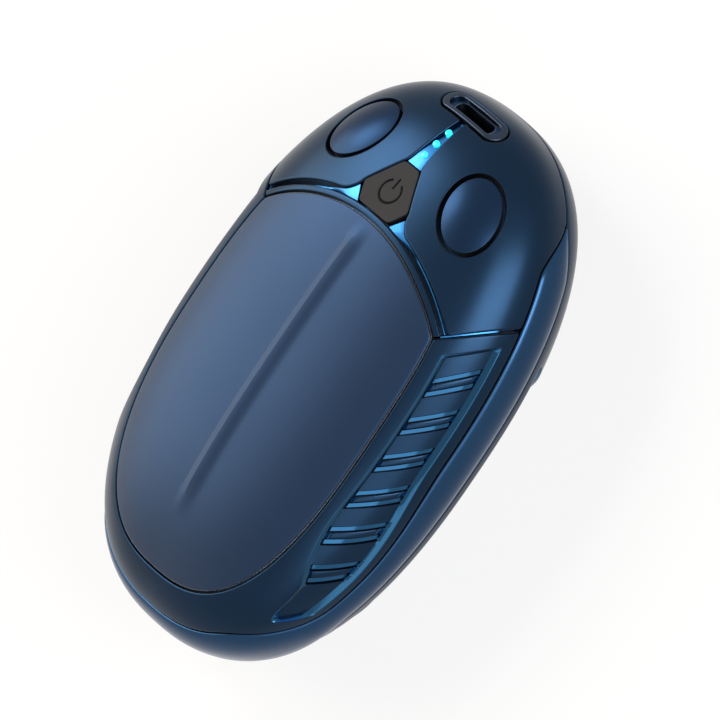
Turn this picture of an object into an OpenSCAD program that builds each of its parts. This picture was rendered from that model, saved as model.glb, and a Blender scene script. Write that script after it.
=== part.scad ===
// Pocket hand warmer with two heating plates. Lengths in mm, Z up.
// The head points to +Y, the front plate and the button face +Z.
// Origin: middle of the flat rest face under the back plate.
// Angles: "polar" goes round Z from +X, "rise" goes up from the middle plane.

/* [Body] */
// Width of the body without the raised band
body_width = 60; // [56:1:64]
// Length of the body
body_length = 98; // [92:1:104]
// Depth of the body before its back is flattened
body_depth = 34; // [32:0.5:36]
// Roundness power of the outline, 2 is an ellipse
plan_power = 2.43; // [2.3:0.01:2.6]
// Roundness power of the cross-section, 2 is an ellipse
depth_power = 2.57; // [2.4:0.01:2.8]
// How much of the depth is cut away for the flat rest face
rest_cut = 0.6; // [0.4:0.05:1]
// Wall of the front frame, band and back shell
shell_wall = 2.4; // [2:0.1:2.6]
// Wall of the head cover
head_wall = 2.8; // [2.6:0.1:3]

/* [Seams] */
// Height of the band on the flanks
band_flank = 7; // [6:0.1:8]
// Height of the band at the tail
band_tail = 14; // [12.4:0.2:14.8]
// Drop of the head seam below the middle plane
head_seam_drop = 1.2; // [0.5:0.1:1.7]
// Drop of the band's upper seam towards the tail
seam_sag = 1.7; // [1:0.1:2]
// Polar angle behind the middle at which the upper seam has dropped
seam_sag_angle = 40; // [34:1:44]
// Height of the band's bulge
bulge_height = 0.8; // [0.5:0.1:1.1]
// Polar angle at which the band starts at the head
band_start_angle = 65; // [62:1:68]
// Polar angle that the band's tip stays back from there
band_tip_angle = 2; // [1.5:0.5:3]
// Polar angle at which the band has its full flank height
band_full_angle = 52; // [49:1:54]
// Polar angle at which the band begins to widen to the tail
tail_start_angle = -48; // [-54:1:-44]
// Polar angle at which the band has its full tail height
tail_full_angle = -72; // [-78:1:-68]
// Upper end of the shoulder seam, length in front of the plate's corners
shoulder_top_run = 0.4; // [0.3:0.05:0.7]
// Lower end of the shoulder seam, length in front of the plate's corners
shoulder_low_run = 8.25; // [7.7:0.05:8.8]
// Gap at the long seams
seam_gap = 0.2; // [0.15:0.05:0.3]
// Width of the shoulder seams
shoulder_gap = 0.8; // [0.6:0.05:1]

/* [Heating plates] */
// Width of the body beside a plate, on each side
plate_side_margin = 7.75; // [7.5:0.05:8.5]
// Length of the body behind the tail end of a plate
plate_tail_margin = 7.9; // [7.4:0.1:9.5]
// Length of the body in front of the head end of a plate
plate_head_margin = 25; // [24:0.1:25.8]
// Length of the curved head end of a plate
plate_crown_length = 8.3; // [7.6:0.1:9]
// Widest place of a plate, behind the middle of the body
plate_back = 2; // [1:0.1:3]
// Roundness power of the plate outline, 2 is an ellipse
plate_power = 2.6; // [2.4:0.05:2.8]
// Thickness of a heating plate
plate_thickness = 1.2; // [1:0.1:1.3]
// Gap round a plate
plate_gap = 0.3; // [0.2:0.05:0.4]
// Bevel on the plate edge
plate_bevel = 0.35; // [0.2:0.05:0.4]
// Width of the ledge on which a plate lies
ledge_width = 1.8; // [1.4:0.1:2]
// Steep left side of the ridge along the front plate, its width
ridge_left = 1.3; // [1:0.1:1.8]
// Long right side of the ridge, its width
ridge_right = 2.6; // [2:0.1:3]
// Height of the ridge above the front plate
ridge_height = 0.38; // [0.25:0.01:0.5]
// Length of the plate behind the ridge
ridge_margin = 8.3; // [6:0.1:12]
// Length over which the ridge fades out at the plate's head end
ridge_fade = 6; // [4:0.5:8]
// Length over which the ridge fades out at its tail end
ridge_tail_fade = 9; // [6:0.5:12]
// Thickness of a film heater
film_thickness = 0.3; // [0.2:0.05:0.4]
// Gap between a plate and its film heater
film_gap = 0.06; // [0.04:0.01:0.1]
// Edge of a plate that its film heater leaves free
film_margin = 3.6; // [2.8:0.1:4.6]
// Edge of a plate that its foam pad leaves free
foam_margin = 6.7; // [5.8:0.1:7.8]

/* [Side vents] */
// Height of the panel's upper edge above the middle plane
vent_high = 11.9; // [11.6:0.1:12.1]
// Height of the panel's lower edge above the middle plane
vent_low = 5.7; // [5.3:0.1:6.1]
// Drop of the upper edge from the flank to the panel's tip
vent_drop = 5.5; // [5:0.1:5.8]
// Length of the plate behind the place where the upper edge begins to drop
vent_drop_margin = 26.1; // [24:0.1:28]
// Length over which the upper edge drops that far
vent_drop_run = 22.6; // [20:0.1:26]
// Drop of the lower edge towards the tail
vent_low_drop = 2.4; // [1.6:0.1:2.6]
// Depth of the sunken panel
vent_depth = 0.7; // [0.5:0.05:0.8]
// Rise angle taken up by the sloped wall of the panel
vent_wall_angle = 2.6; // [2:0.1:3.2]
// Depth of a groove below the panel
groove_depth = 0.5; // [0.3:0.05:0.6]
// Width of a groove
groove_width = 1.15; // [0.9:0.05:1.25]
// Flat land between the two grooves of a pair
groove_land = 1.3; // [1:0.05:1.4]
// Distance between groove pairs
groove_pitch = 7.05; // [6.7:0.05:7.2]
// Length of the plate behind the last groove pair
vent_tail_margin = 9.6; // [9.3:0.1:12]
// Length before the plate's tail end in which the grooves spread
groove_spread_margin = 22.8; // [20:0.1:24]
// Distance that the grooves spread by over that length
groove_spread = 7.8; // [4:0.2:9]
// Slant of the grooves along the body
groove_slant = 10.2; // [9:0.1:11]
// Slant of the shoulder seam along the body
shoulder_slant = 7.9; // [7:0.1:8.5]
// First pair, measured back from the plate corner
first_groove = 7.8; // [7.3:0.1:8.4]
// Front wall of the panel, measured back from the plate corner
panel_start = 3.6; // [3:0.1:4.2]
// Share of the tail sweep at which the panel ends
panel_end_share = 0.12; // [0.09:0.01:0.16]
// Bend of the tail stations towards the panel's tip
panel_tip_bend = 2.2; // [1.4:0.1:2.6]

/* [Button] */
// Long sides of the six-sided button
button_long = 7.1; // [6.6:0.1:7.4]
// Short sides of the six-sided button
button_short = 3.4; // [3:0.1:3.7]
// Travel of the button
button_travel = 0.4; // [0.25:0.05:0.5]
// Gap round the button
button_gap = 0.2; // [0.15:0.05:0.3]
// Rim that keeps the button in, on each side
button_rim = 0.8; // [0.6:0.05:0.9]
// Thickness of that rim
rim_thickness = 0.7; // [0.5:0.05:0.8]
// Gap between that rim and the head cover
rim_gap = 0.1; // [0.05:0.05:0.2]
// Depth of the rim face below the button top
rim_drop = 3.3; // [3.2:0.05:3.5]
// Lean of the button top towards the head
button_lean = 11.7; // [10:0.1:13]
// Stem under the button, radius
stem_radius = 1.8; // [1.4:0.1:2]
// Radius of the power symbol
symbol_radius = 1.95; // [1.7:0.05:2.2]
// Line width of the power symbol
symbol_line = 0.4; // [0.3:0.05:0.5]
// Depth of the power symbol
symbol_depth = 0.25; // [0.15:0.05:0.35]
// Opening of the power symbol, degrees
symbol_opening = 60; // [45:5:75]

/* [Trim] */
// Rim of the head cover between the plate and the side arms
strip_width = 1; // [0.9:0.05:1.1]
// Width of the side arms of the channel
arm_width = 1; // [0.9:0.05:1.1]
// Extra width of a side arm at the button
flare_width = 2.3; // [2:0.1:2.5]
// Inner corner of a side arm at the button, distance from the middle line
arm_inner_side = 3.5; // [3.3:0.1:4]
// Outer corner of a side arm at the button, distance from the middle line
arm_outer_side = 5.3; // [5:0.1:5.6]
// End of a side arm's flare, distance from the middle line
arm_flare_side = 8.2; // [7.5:0.1:9]
// Half width of the head arm at the button
head_arm_half = 1.85; // [1.7:0.05:1.9]
// Half width of the head arm at the port
head_arm_tip = 0.55; // [0.45:0.05:0.7]
// Depth of the channel
channel_depth = 1.9; // [1.7:0.05:2]
// Depth of the trim face at the button
trim_start_depth = 0.3; // [0.2:0.05:0.4]
// Depth of the trim face at the end of a side arm
trim_end_depth = 1.2; // [1:0.05:1.3]
// Gap on each side of the trim
trim_gap = 0.08; // [0.05:0.01:0.12]

/* [Indicator lights] */
// Number of lights
light_count = 3; // [2:1:3]
// First light, measured from the button end of the head arm
light_start = 2.5; // [2.3:0.1:2.8]
// Distance between the lights
light_pitch = 2.4; // [2.2:0.1:2.5]
// Radius of a light window
light_radius = 0.55; // [0.45:0.05:0.6]
// Gap round a light window
light_gap = 0.04; // [0.03:0.01:0.06]
// Height of a light source
led_height = 0.6; // [0.5:0.05:0.7]
// Half width of a light source
led_half = 0.5; // [0.4:0.05:0.6]
// Gap between a light source and the window over it
led_gap = 0.15; // [0.1:0.05:0.25]
// Thickness of the light strip
light_strip_thickness = 0.3; // [0.2:0.05:0.4]
// Half width of the light strip
light_strip_half = 2; // [1.6:0.1:2.4]

/* [Eyes] */
// Distance of an eye's middle from the side of the body
eye_side_margin = 16.5; // [16.2:0.1:16.8]
// Distance of an eye's middle from the head end of the body
eye_head_margin = 14.6; // [14.2:0.1:15.1]
// Long half axis of the eye recess
eye_long = 7.05; // [6.8:0.05:7.2]
// Short half axis of the eye recess
eye_short = 5.35; // [5.1:0.05:5.5]
// Turn of the long axis towards the middle at the head, degrees
eye_turn = 27; // [24:1:30]
// Lean of the eye towards the head, degrees
eye_lean = 19; // [17:0.5:21]
// Lean of the eye to the side, degrees
eye_side_lean = 14.5; // [13:0.5:16]
// Depth of the eye recess
eye_depth = 1.9; // [1.6:0.05:2]
// Width of the groove round the dome
eye_groove = 0.75; // [0.6:0.05:0.9]
// Height of the straight edge of the dome
eye_edge = 1.2; // [1:0.05:1.3]
// Height of the dome above its edge
eye_crown = 1.2; // [1:0.05:1.5]

/* [Port] */
// Distance of the port from the head end of the body
port_margin = 2.75; // [2.55:0.05:3.05]
// Length of the port slot
slot_length = 11; // [10.6:0.1:11.4]
// Height of the port slot
slot_height = 2.8; // [2.7:0.05:3]
// Rim of the bezel at the ends of the slot
bezel_rim = 1.35; // [1.2:0.05:1.5]
// Rim of the bezel above and below the slot
bezel_band = 0.8; // [0.7:0.05:0.9]
// Gap round the bezel
bezel_gap = 0.3; // [0.2:0.05:0.4]
// Height of the bezel above the head cover
bezel_proud = 0.15; // [0.05:0.05:0.3]
// Radius of the bezel's face from side to side
bezel_round = 48; // [40:1:60]
// Depth of the bezel
bezel_depth = 3.4; // [3.2:0.1:3.8]
// Depth of the slot before the socket
slot_depth = 0.9; // [0.8:0.05:1.1]
// Width of the socket shell, a standard size
socket_width = 8.94;
// Height of the socket shell, a standard size
socket_height = 3.26;
// Width of the mouth of the socket, a standard size
mouth_width = 8.34;
// Height of the mouth of the socket, a standard size
mouth_height = 2.56;
// Length of the socket
socket_length = 6.5; // [6.4:0.1:7]
// Depth of the mouth of the socket
mouth_depth = 6; // [5.6:0.1:6.2]
// Width of the contact tongue
tongue_width = 6.7; // [6.6:0.02:6.74]
// Thickness of the contact tongue
tongue_thickness = 0.7; // [0.6:0.02:0.72]
// Length of the contact tongue
tongue_length = 4.45; // [4.3:0.05:4.5]
// Width of the port board
port_board_width = 14; // [13:0.5:15]
// Height of the port board
port_board_height = 5.6; // [5:0.1:5.8]
// Thickness of the port board
port_board_thickness = 1; // [0.8:0.1:1.2]

/* [Battery] */
// Width of the body beside a pouch cell, on each side
cell_side_margin = 12; // [11.75:0.25:13.5]
// Length of the body that a pouch cell leaves free
cell_end_margin = 53; // [52:0.5:56]
// Depth of the body over a pouch cell
cell_depth_margin = 8.6; // [8.4:0.1:9.5]
// Corner radius of a pouch cell
cell_corner = 3; // [2:0.5:4]
// Middle of the cells towards the tail
cell_shift = 5.5; // [5:0.25:6.5]
// Adhesive between the cells
cell_tape = 0.2; // [0.1:0.05:0.3]
// Gap between the cells and their tray
cell_gap = 0.2; // [0.1:0.05:0.3]
// Wall of the cell tray
tray_wall = 1.4; // [1.2:0.1:1.6]
// Half height of the cell tray
tray_half = 6; // [5:0.25:6.5]
// Thickness of the shelf that carries the board posts
shelf_thickness = 1.5; // [1.2:0.1:1.8]
// Edge of the shelf beside and past the board posts
shelf_edge = 0.5; // [0.1:0.1:1]
// Distance of the tray lugs from the side of the body
lug_side_margin = 6; // [5.7:0.1:6.4]
// Distance of the head lugs from the head end of the tray
lug_head_margin = 8.6; // [7:0.2:10]
// Distance of the tail lugs from the tail end of the tray
lug_tail_margin = 15.6; // [14.6:0.2:17]
// Radius of a lug and of the post under it
lug_radius = 2.2; // [2:0.1:2.3]
// Thickness of a lug
lug_thickness = 1.6; // [1.4:0.1:2]
// Height of a band post
post_height = 5; // [4:0.25:5.5]

/* [Boards] */
// Width of the main board
board_width = 32; // [30:0.5:34]
// Length of the main board
board_length = 15; // [14.5:0.25:15.25]
// Thickness of the main board
board_thickness = 1.6; // [1.2:0.1:1.6]
// Corner radius of the main board
board_corner = 2; // [1:0.25:3]
// Main board, distance of its middle from the button towards the head
board_shift = 1; // [0.6:0.1:1.2]
// Distance of the board screws from the middle
board_screw_side = 11.5; // [11:0.25:12]
// Distance of the board screws from the middle of the board
board_screw_along = 4.4; // [4:0.1:4.8]
// Radius of a board post
board_post_radius = 2; // [1.8:0.1:2.2]
// Width of the switch
switch_width = 6; // [5.6:0.1:6.2]
// Height of the switch body
switch_height = 3.4; // [3.1:0.1:3.5]
// Height of the switch with its plunger
switch_total = 5; // [4.8:0.1:5.2]
// Radius of the plunger
plunger_radius = 1.7; // [1.5:0.05:1.75]
// Depth of the plunger inside the switch body
plunger_foot = 0.9; // [0.8:0.05:1]
// Running gap round the plunger
plunger_gap = 0.05; // [0.03:0.01:0.08]
// Gap between the switch and the parts beside it
part_gap = 0.8; // [0.6:0.1:1]
// Width of the controller chip
chip_width = 5; // [4:0.25:6]
// Height of the controller chip
chip_height = 0.9; // [0.7:0.05:1.1]
// Width of the inductor
coil_width = 6; // [5:0.25:6.5]
// Height of the inductor
coil_height = 2.8; // [2.2:0.1:3]
// Length of a capacitor
cap_length = 1.6; // [1.4:0.1:2]
// Width of a capacitor
cap_width = 0.8; // [0.7:0.1:1.2]
// Distance between capacitors
cap_pitch = 1.6; // [1.4:0.1:1.8]
// Number of capacitors
cap_count = 4; // [2:1:4]
// Width of the cell plug
plug_width = 6; // [5:0.25:6.5]
// Height of the cell plug
plug_height = 2.4; // [2:0.1:2.6]

/* [Screws and wires] */
// Radius of a screw thread
screw_radius = 0.8; // [0.7:0.05:0.85]
// Radius of the hole that a screw cuts into
pilot_radius = 0.85; // [0.8:0.05:0.9]
// Radius of a screw head
head_radius = 1.6; // [1.4:0.1:1.8]
// Height of a screw head
head_height = 0.9; // [0.7:0.1:1]
// Length of a screw thread
screw_length = 4.5; // [4:0.25:5]
// Width of the drive slot in a screw head
drive_width = 0.4; // [0.3:0.05:0.5]
// Depth of the drive slot in a screw head
drive_depth = 0.4; // [0.3:0.05:0.5]
// Radius of a wire
wire_radius = 0.5; // [0.4:0.05:0.6]
// Distance between neighbouring wires
wire_pitch = 1.4; // [1.3:0.1:1.7]
// Distance of the heater wires from the middle line
heater_wire_side = 4.6; // [4.4:0.1:5.4]
// Distance that a wire keeps from the piece it runs along
wire_clear = 0.2; // [0.1:0.05:0.3]
// Straight end of a wire before its first bend
wire_end = 1; // [0.8:0.1:1.4]
// Width of the flat cable to the port board
cable_width = 5; // [4:0.5:8]
// Thickness of the flat cable
cable_thickness = 0.3; // [0.2:0.05:0.4]
// Radius of the temperature sensor
sensor_radius = 0.8; // [0.6:0.05:0.9]
// Length of the temperature sensor
sensor_length = 3; // [2.5:0.1:3.5]

/* [Detail] */
// Columns of facets on a heating plate
plate_columns = 14; // [10:2:18]
// Rows of facets on a heating plate
plate_rows = 18; // [14:1:24]
// Facet stations round the tail in each half
tail_steps = 10; // [8:1:12]
// Facet stations round the head between two bends of its seam
head_steps = 4; // [3:1:5]

/* [Hidden] */
half_w = body_width/2;
half_l = body_length/2;
half_d = body_depth/2;
mid = half_d - rest_cut;
eps = 0.01;
over = 4;
fine = 48;
finer = 96;
tau = 360;
right = 90;

cell_width = body_width - 2*cell_side_margin;
cell_length = body_length - cell_end_margin;
cell_thickness = half_d - cell_depth_margin;

plate_half = half_w - plate_side_margin;
plate_mid = -plate_back;
plate_end = plate_tail_margin - half_l;
plate_tail = plate_mid - plate_end;
plate_crown = half_l - plate_head_margin;
plate_corner = plate_crown - plate_crown_length;
plate_side = plate_half*pow(1 - pow((plate_corner - plate_mid)/plate_tail, plate_power), 1/plate_power);
arc_radius = (pow(plate_side, 2) + pow(plate_crown_length, 2))/(2*plate_crown_length);
arc_mid = plate_crown - arc_radius;
ledge_depth = plate_thickness + seam_gap/4;
ridge_tail = plate_end + ridge_margin;

// Body surface: a rounded shell with its own powers in plan and in depth.
function gauge(x, y) = pow(pow(abs(x)/half_w, plan_power) + pow(abs(y)/half_l, plan_power), 1/plan_power);
function shrink(e) = pow(cos(e), 2/depth_power);
function height(e) = sign(e)*half_d*pow(abs(sin(e)), 2/depth_power);
function rise(z) = sign(z)*asin(pow(min(1, abs(z)/half_d), depth_power/2));
function lift(x, y) = acos(pow(min(gauge(x, y), 1 - eps), depth_power/2));
function unit(v) = v/norm(v);
function slope(x, y, z) = let(g = max(gauge(x, y), eps)) unit([
    pow(g, depth_power - plan_power)*sign(x)*pow(abs(x), plan_power - 1)/pow(half_w, plan_power),
    pow(g, depth_power - plan_power)*sign(y)*pow(abs(y), plan_power - 1)/pow(half_l, plan_power),
    sign(z)*pow(abs(z), depth_power - 1)/pow(half_d, depth_power)]);
function skin_at(x, y, z, d) = [x, y, z] - d*slope(x, y, z) + [0, 0, mid];
// Point at polar angle t and rise e, d below the surface.
function skin(t, e, d) = let(r = shrink(e)/gauge(cos(t), sin(t)))
    skin_at(r*cos(t), r*sin(t), height(e), d);
// Point above plan position x, y on the upper side, d below the surface.
function above(x, y, d) = skin_at(x, y, height(lift(x, y)), d);
function turned(p) = [p[0], p[1], 2*mid - p[2]];
function flipped(p) = [-p[0], p[1], p[2]];
function ease(u) = let(v = min(1, max(0, u))) v*v*(3 - 2*v);
function mix(a, b, u) = a + (b - a)*u;

// Outline of a heating plate: half width at y, and the two end curves.
function plate_curve(q) = pow(max(0, 1 - pow(min(1, abs(q)), plate_power)), 1/plate_power);
function plate_x(y) = plate_half*plate_curve((y - plate_mid)/plate_tail);
function plate_low(x) = plate_mid - plate_tail*plate_curve(x/plate_half);
function plate_high(x) = arc_mid + sqrt(arc_radius*arc_radius - x*x);
// Radius of a circle about the arc centre, seen from the origin at angle t.
function arc_polar(r, t) = arc_mid*sin(t) + sqrt(r*r - pow(arc_mid*cos(t), 2));

// Heights of the seams at polar angle t on the right half.
flank_z = band_flank/2;
tail_z = band_tail/2;
head_z = -head_seam_drop;
function seam_line(t, flank, tail) = t > band_full_angle
    ? mix(flank, head_z, ease((t - band_full_angle)/(band_start_angle - band_full_angle)))
    : mix(flank, tail, ease((tail_start_angle - t)/(tail_start_angle - tail_full_angle)));
// Share of the sag at polar angle t: none in front of the middle, all of it near the tail.
function sag_share(t) = ease(-t/seam_sag_angle);
function seam_up(t) = seam_line(t, flank_z - seam_sag*sag_share(t), tail_z);
function seam_down(t) = seam_line(t, -flank_z, -tail_z);

// Polar angles of the stations round the head, with the bends of the seam among them.
function steps_to(a, b, n) = [for (i = [0:n - 1]) mix(a, b, i/n)];
function bend_stops() = steps_to(band_full_angle, band_start_angle, head_steps);
function head_stops(from) = concat(steps_to(from, band_full_angle, head_steps), bend_stops(),
    steps_to(band_start_angle, right, head_steps), [right]);

// Closed solid between a grid of top points and a grid of bottom points.
module slab(top, bot, loop = false) {
    n = len(top);
    k = len(top[0]);
    m = 2*k;
    pts = [for (i = [0:n - 1]) for (j = [0:m - 1]) j < k ? top[i][j] : bot[i][m - 1 - j]];
    last = loop ? n - 1 : n - 2;
    walls = [for (i = [0:last]) for (j = [0:m - 1]) for (h = [0, 1])
        let(a = i*m + j, b = i*m + (j + 1)%m, c = ((i + 1)%n)*m + (j + 1)%m, d = ((i + 1)%n)*m + j)
        h == 0 ? [a, b, c] : [a, c, d]];
    ends = loop ? [] : [for (j = [0:k - 2]) for (h = [0:3])
        let(a = j, b = j + 1, c = m - 2 - j, d = m - 1 - j, o = (n - 1)*m)
        h == 0 ? [a, c, b] : h == 1 ? [a, d, c] : h == 2 ? [o + a, o + b, o + c] : [o + a, o + c, o + d]];
    polyhedron(pts, concat(walls, ends), convexity = 10);
}

// The right half followed by its mirror image without the shared middle.
function both(list, drop) = concat(list,
    [for (i = [len(list) - 1 - drop:-1:0]) [for (p = list[i]) flipped(p)]]);

// Stations of a frame. Each one is [inner x, inner y, polar angle at the seam,
// depth of the panel, upper edge of the panel as a rise, bend of the station].
top_rise = rise(vent_high);
tip_rise = rise(vent_high - vent_drop);
// Power with which the upper edge of the panel curves down.
vent_power = 2.15;
function vent_top(y) = rise(vent_high - vent_drop*pow(max(0, plate_end + vent_drop_margin - y)
    /vent_drop_run, vent_power));
function y_angle(y, e) = let(g = shrink(e))
    atan2(y, half_w*pow(max(eps, pow(g, plan_power) - pow(abs(y)/half_l, plan_power)), 1/plan_power));
pair_width = 2*groove_width + groove_land;
groove_room = plate_corner - first_groove - plate_end - vent_tail_margin - pair_width;
groove_pairs = 1 + floor(groove_room/groove_pitch);
// Place along the plate of a length s behind its corner: the grooves spread near the tail.
function vent_place(s) = plate_corner - s
    - groove_spread*pow(max(0, s - plate_corner + plate_end + groove_spread_margin)/groove_spread_margin, 2);
groove_tail = vent_place(first_groove + groove_pitch*(groove_pairs - 1) + pair_width);
function slant(y) = mix(groove_slant, shoulder_slant, ease((y - plate_corner + first_groove)/first_groove));
function side_row(y, d) = [plate_x(y) + plate_gap, y, y_angle(y + slant(y), rise(flank_z)), d,
    vent_top(y), 1];
groove_rows = [for (g = [0:groove_pairs - 1]) for (k = [0:5])
    side_row(vent_place(first_groove + groove_pitch*g + (k > 2 ? groove_width + groove_land : 0)
        + groove_width*(k%3)/2), vent_depth + (k%3 == 1 ? groove_depth : 0))];
// Power that spaces the tail stations along the seam.
tail_sweep = 0.8;
turn_x = plate_x(groove_tail);
turn_angle = asin(pow(min(1, turn_x/plate_half), plate_power/2));
turn_polar = y_angle(groove_tail + groove_slant, rise(flank_z));
// Shares of the tail sweep taken up by the panel's end wall, and until the stations are bent.
panel_wall_share = 0.03;
tail_bend_share = 0.2;
tail_stops = concat([panel_end_share/2, panel_end_share - panel_wall_share, panel_end_share],
    [for (i = [1:tail_steps]) mix(panel_end_share, 1, i/tail_steps)]);
tail_rows = [for (u = tail_stops) let(a = turn_angle*(1 - u),
    x = plate_half*pow(sin(a), 2/plate_power), y = plate_low(x) - plate_gap*cos(a))
    [x + plate_gap*sin(a), y, mix(turn_polar, -right, pow(u, tail_sweep)),
    u < panel_end_share ? vent_depth : 0, mix(vent_top(groove_tail), tip_rise, min(1, u/panel_end_share)),
    1 + panel_tip_bend*ease(u/tail_bend_share)]];
function near_rows() = concat(
    [side_row(plate_corner - panel_start + vent_depth, 0), side_row(plate_corner - panel_start, vent_depth)],
    groove_rows, tail_rows);

// Rise angle between the ledge's corner and the next point of the inner wall.
ledge_angle = 1;
// Top and bottom chains of one station.
function chain_t(q, e, e0, e5, t0) = mix(t0, q[2], pow(max(0, e0 - e)/(e0 - e5), q[5]));
function station(q, up, front) =
    let(t0 = atan2(q[1], q[0]), e0 = lift(q[0], q[1]),
        zs = q[2] <= -right ? tail_z : front ? seam_up(q[2]) : -seam_down(q[2]),
        low = vent_low - (front ? vent_low_drop*sag_share(q[2]) : 0),
        c = vent_wall_angle, e5 = rise(zs + seam_gap/2), e4 = max(rise(low), e5 + c), e1 = max(q[4], e4 + 3*c),
        k = 1 - ledge_width/norm([q[0], q[1]]),
        es = [e0, e1, e1 - c, mix(e1 - c, e4 + c, 1/3), mix(e1 - c, e4 + c, 2/3), e4 + c, e4, e5],
        ds = [0, 0, q[3], q[3], q[3], q[3], 0, 0])
    up ? concat([above(q[0]*k, q[1]*k, ledge_depth), skin(t0, e0, ledge_depth)],
            [for (i = [0:7]) skin(chain_t(q, es[i], e0, e5, t0), es[i], ds[i])])
       : concat([above(q[0]*k, q[1]*k, shell_wall), skin(t0, e0, shell_wall),
            skin(chain_t(q, e0 - ledge_angle, e0, e5, t0), e0 - ledge_angle, shell_wall)],
            [for (i = [1:7]) skin(chain_t(q, es[i], e0, e5, t0), es[i], shell_wall)]);

module frame_half(rows, loop) {
    top = [for (q = rows) station(q, true, true)];
    bot = [for (q = rows) station(q, false, true)];
    slab(both(top, 1), both(bot, 1), loop);
}

// Polar angles of the two ends of the shoulder seam.
function shoulder_top(r, y) = atan2(y, sqrt(r*r - pow(y - arc_mid, 2)));
shoulder_top_angle = shoulder_top(arc_radius + plate_gap, plate_corner + shoulder_top_run);
shoulder_low_angle = y_angle(plate_corner + shoulder_low_run, rise(flank_z));
// The shoulder end of the front frame follows the shoulder seam.
shoulder_edge = shoulder_low_angle - atan(shoulder_gap/2/half_w);
shoulder_row = [plate_side + plate_gap, plate_corner, shoulder_edge, 0, top_rise, 1];
front_rows = concat([shoulder_row], near_rows());
module front_frame() {
    color("#2f4560") frame_half(front_rows, false);
}

// The back shell closes over the head, so its stations go on to the head seam.
back_lead = 3;
back_from = shoulder_low_angle - back_lead;
function back_head_row(t) = let(u = (t - back_from)/(right - back_from),
    tp = mix(atan2(plate_corner, plate_side), right, u), r = arc_polar(arc_radius + plate_gap, tp))
    [r*cos(tp), r*sin(tp), t, 0, 0, 1];
function back_station(q, up) =
    let(t0 = atan2(q[1], q[0]), e0 = lift(q[0], q[1]), e5 = rise(-seam_down(q[2]) + seam_gap/2),
        k = 1 - ledge_width/norm([q[0], q[1]]),
        es = [for (i = [0:7]) mix(e0, e5, i/7)])
    up ? concat([above(q[0]*k, q[1]*k, ledge_depth), skin(t0, e0, ledge_depth)],
            [for (i = [0:7]) skin(chain_t(q, es[i], e0, e5, t0), es[i], 0)])
       : concat([above(q[0]*k, q[1]*k, shell_wall), skin(t0, e0, shell_wall),
            skin(chain_t(q, e0 - ledge_angle, e0, e5, t0), e0 - ledge_angle, shell_wall)],
            [for (i = [1:7]) skin(chain_t(q, es[i], e0, e5, t0), es[i], shell_wall)]);
module back_shell() {
    stops = head_stops(back_from);
    top = concat([for (i = [len(stops) - 1:-1:1]) back_station(back_head_row(stops[i]), true)],
        [for (q = near_rows()) station(q, true, false)]);
    bot = concat([for (i = [len(stops) - 1:-1:1]) back_station(back_head_row(stops[i]), false)],
        [for (q = near_rows()) station(q, false, false)]);
    color("#2b3f59") translate([0, 0, 2*mid]) mirror([0, 0, 1])
        slab(closed(top), closed(bot), true);
}
// A ring made of a right half from head to tail and its mirror image.
function closed(list) = concat(list, [for (i = [len(list) - 2:-1:1]) [for (p = list[i]) flipped(p)]]);

// Band: from the right shoulder round the tail to the left shoulder.
band_tip = band_start_angle - band_tip_angle;
// Power of the bulge's cross-section, 0.5 would be an ellipse.
bulge_power = 0.7;
band_stops = concat([band_tip],
    [for (i = [head_steps - 1:-1:1]) if (bend_stops()[i] < band_tip) bend_stops()[i]],
    steps_to(band_full_angle, tail_start_angle, 2*tail_steps),
    steps_to(tail_start_angle, tail_full_angle, head_steps),
    steps_to(tail_full_angle, -right, head_steps), [-right]);
band_columns = 6;
function band_row(t, out) = let(a = seam_up(t) - seam_gap/2, b = seam_down(t) + seam_gap/2, m = (a + b)/2,
    h = max(eps, (a - b)/2), full = min(1, h/flank_z))
    [for (j = [0:band_columns]) let(w = 1 - 2*j/band_columns, z = m + h*w)
        skin(t, rise(z), out ? -bulge_height*full*pow(1 - w*w, bulge_power) : shell_wall)];
module mid_band() {
    top = [for (t = band_stops) band_row(t, true)];
    bot = [for (t = band_stops) band_row(t, false)];
    color("#263850") difference() {
        union() {
            slab(both(top, 1), both(bot, 1));
            for (p = lug_places()) band_post(p);
        }
        for (p = lug_places()) translate([p[0], p[1], mid - post_height])
            cylinder(h = post_height + eps, r = pilot_radius, $fn = fine);
    }
}
lug_side = half_w - lug_side_margin;
function lug_places() = [for (s = [-1, 1])
    for (y = [tray_head - lug_head_margin, tray_tail + lug_tail_margin]) [s*lug_side, y]];
module band_post(p) {
    s = sign(p[0]);
    reach = half_w - shell_wall/2 - lug_side;
    translate([p[0], p[1], mid - post_height]) {
        cylinder(h = post_height, r = lug_radius, $fn = fine);
        translate([s > 0 ? 0 : -reach, -lug_radius, post_height/2])
            cube([reach, 2*lug_radius, post_height/2 - seam_gap]);
    }
}

// Head cover: from the plate's upper edge over the head to the head seam.
head_rise_shares = [0, 0.08, 0.2, 0.33, 0.47, 0.62, 0.76, 0.89, 1];
function head_row(t5, up) = let(u = (t5 - shoulder_low_angle)/(right - shoulder_low_angle),
    t0 = mix(shoulder_top_angle, right, u),
    r = arc_polar(arc_radius + plate_gap, t0), x = r*cos(t0), y = r*sin(t0), e0 = lift(x, y),
    e5 = rise(seam_up(t5) + seam_gap/2), g = u == 0 ? shoulder_gap/4 : 0, k = 1 - ledge_width/r)
    up ? concat([above(x*k, y*k, ledge_depth), skin(t0, e0, ledge_depth)],
            [for (w = head_rise_shares) skin(mix(t0, t5, w) + g, mix(e0, e5, w), 0)])
       : concat([above(x*k, y*k, head_wall), skin(t0, e0, head_wall), skin(t0, e0 - ledge_angle, head_wall)],
            [for (i = [1:len(head_rise_shares) - 1]) let(w = head_rise_shares[i])
                skin(mix(t0, t5, w) + g, mix(e0, e5, w), head_wall)]);
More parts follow.
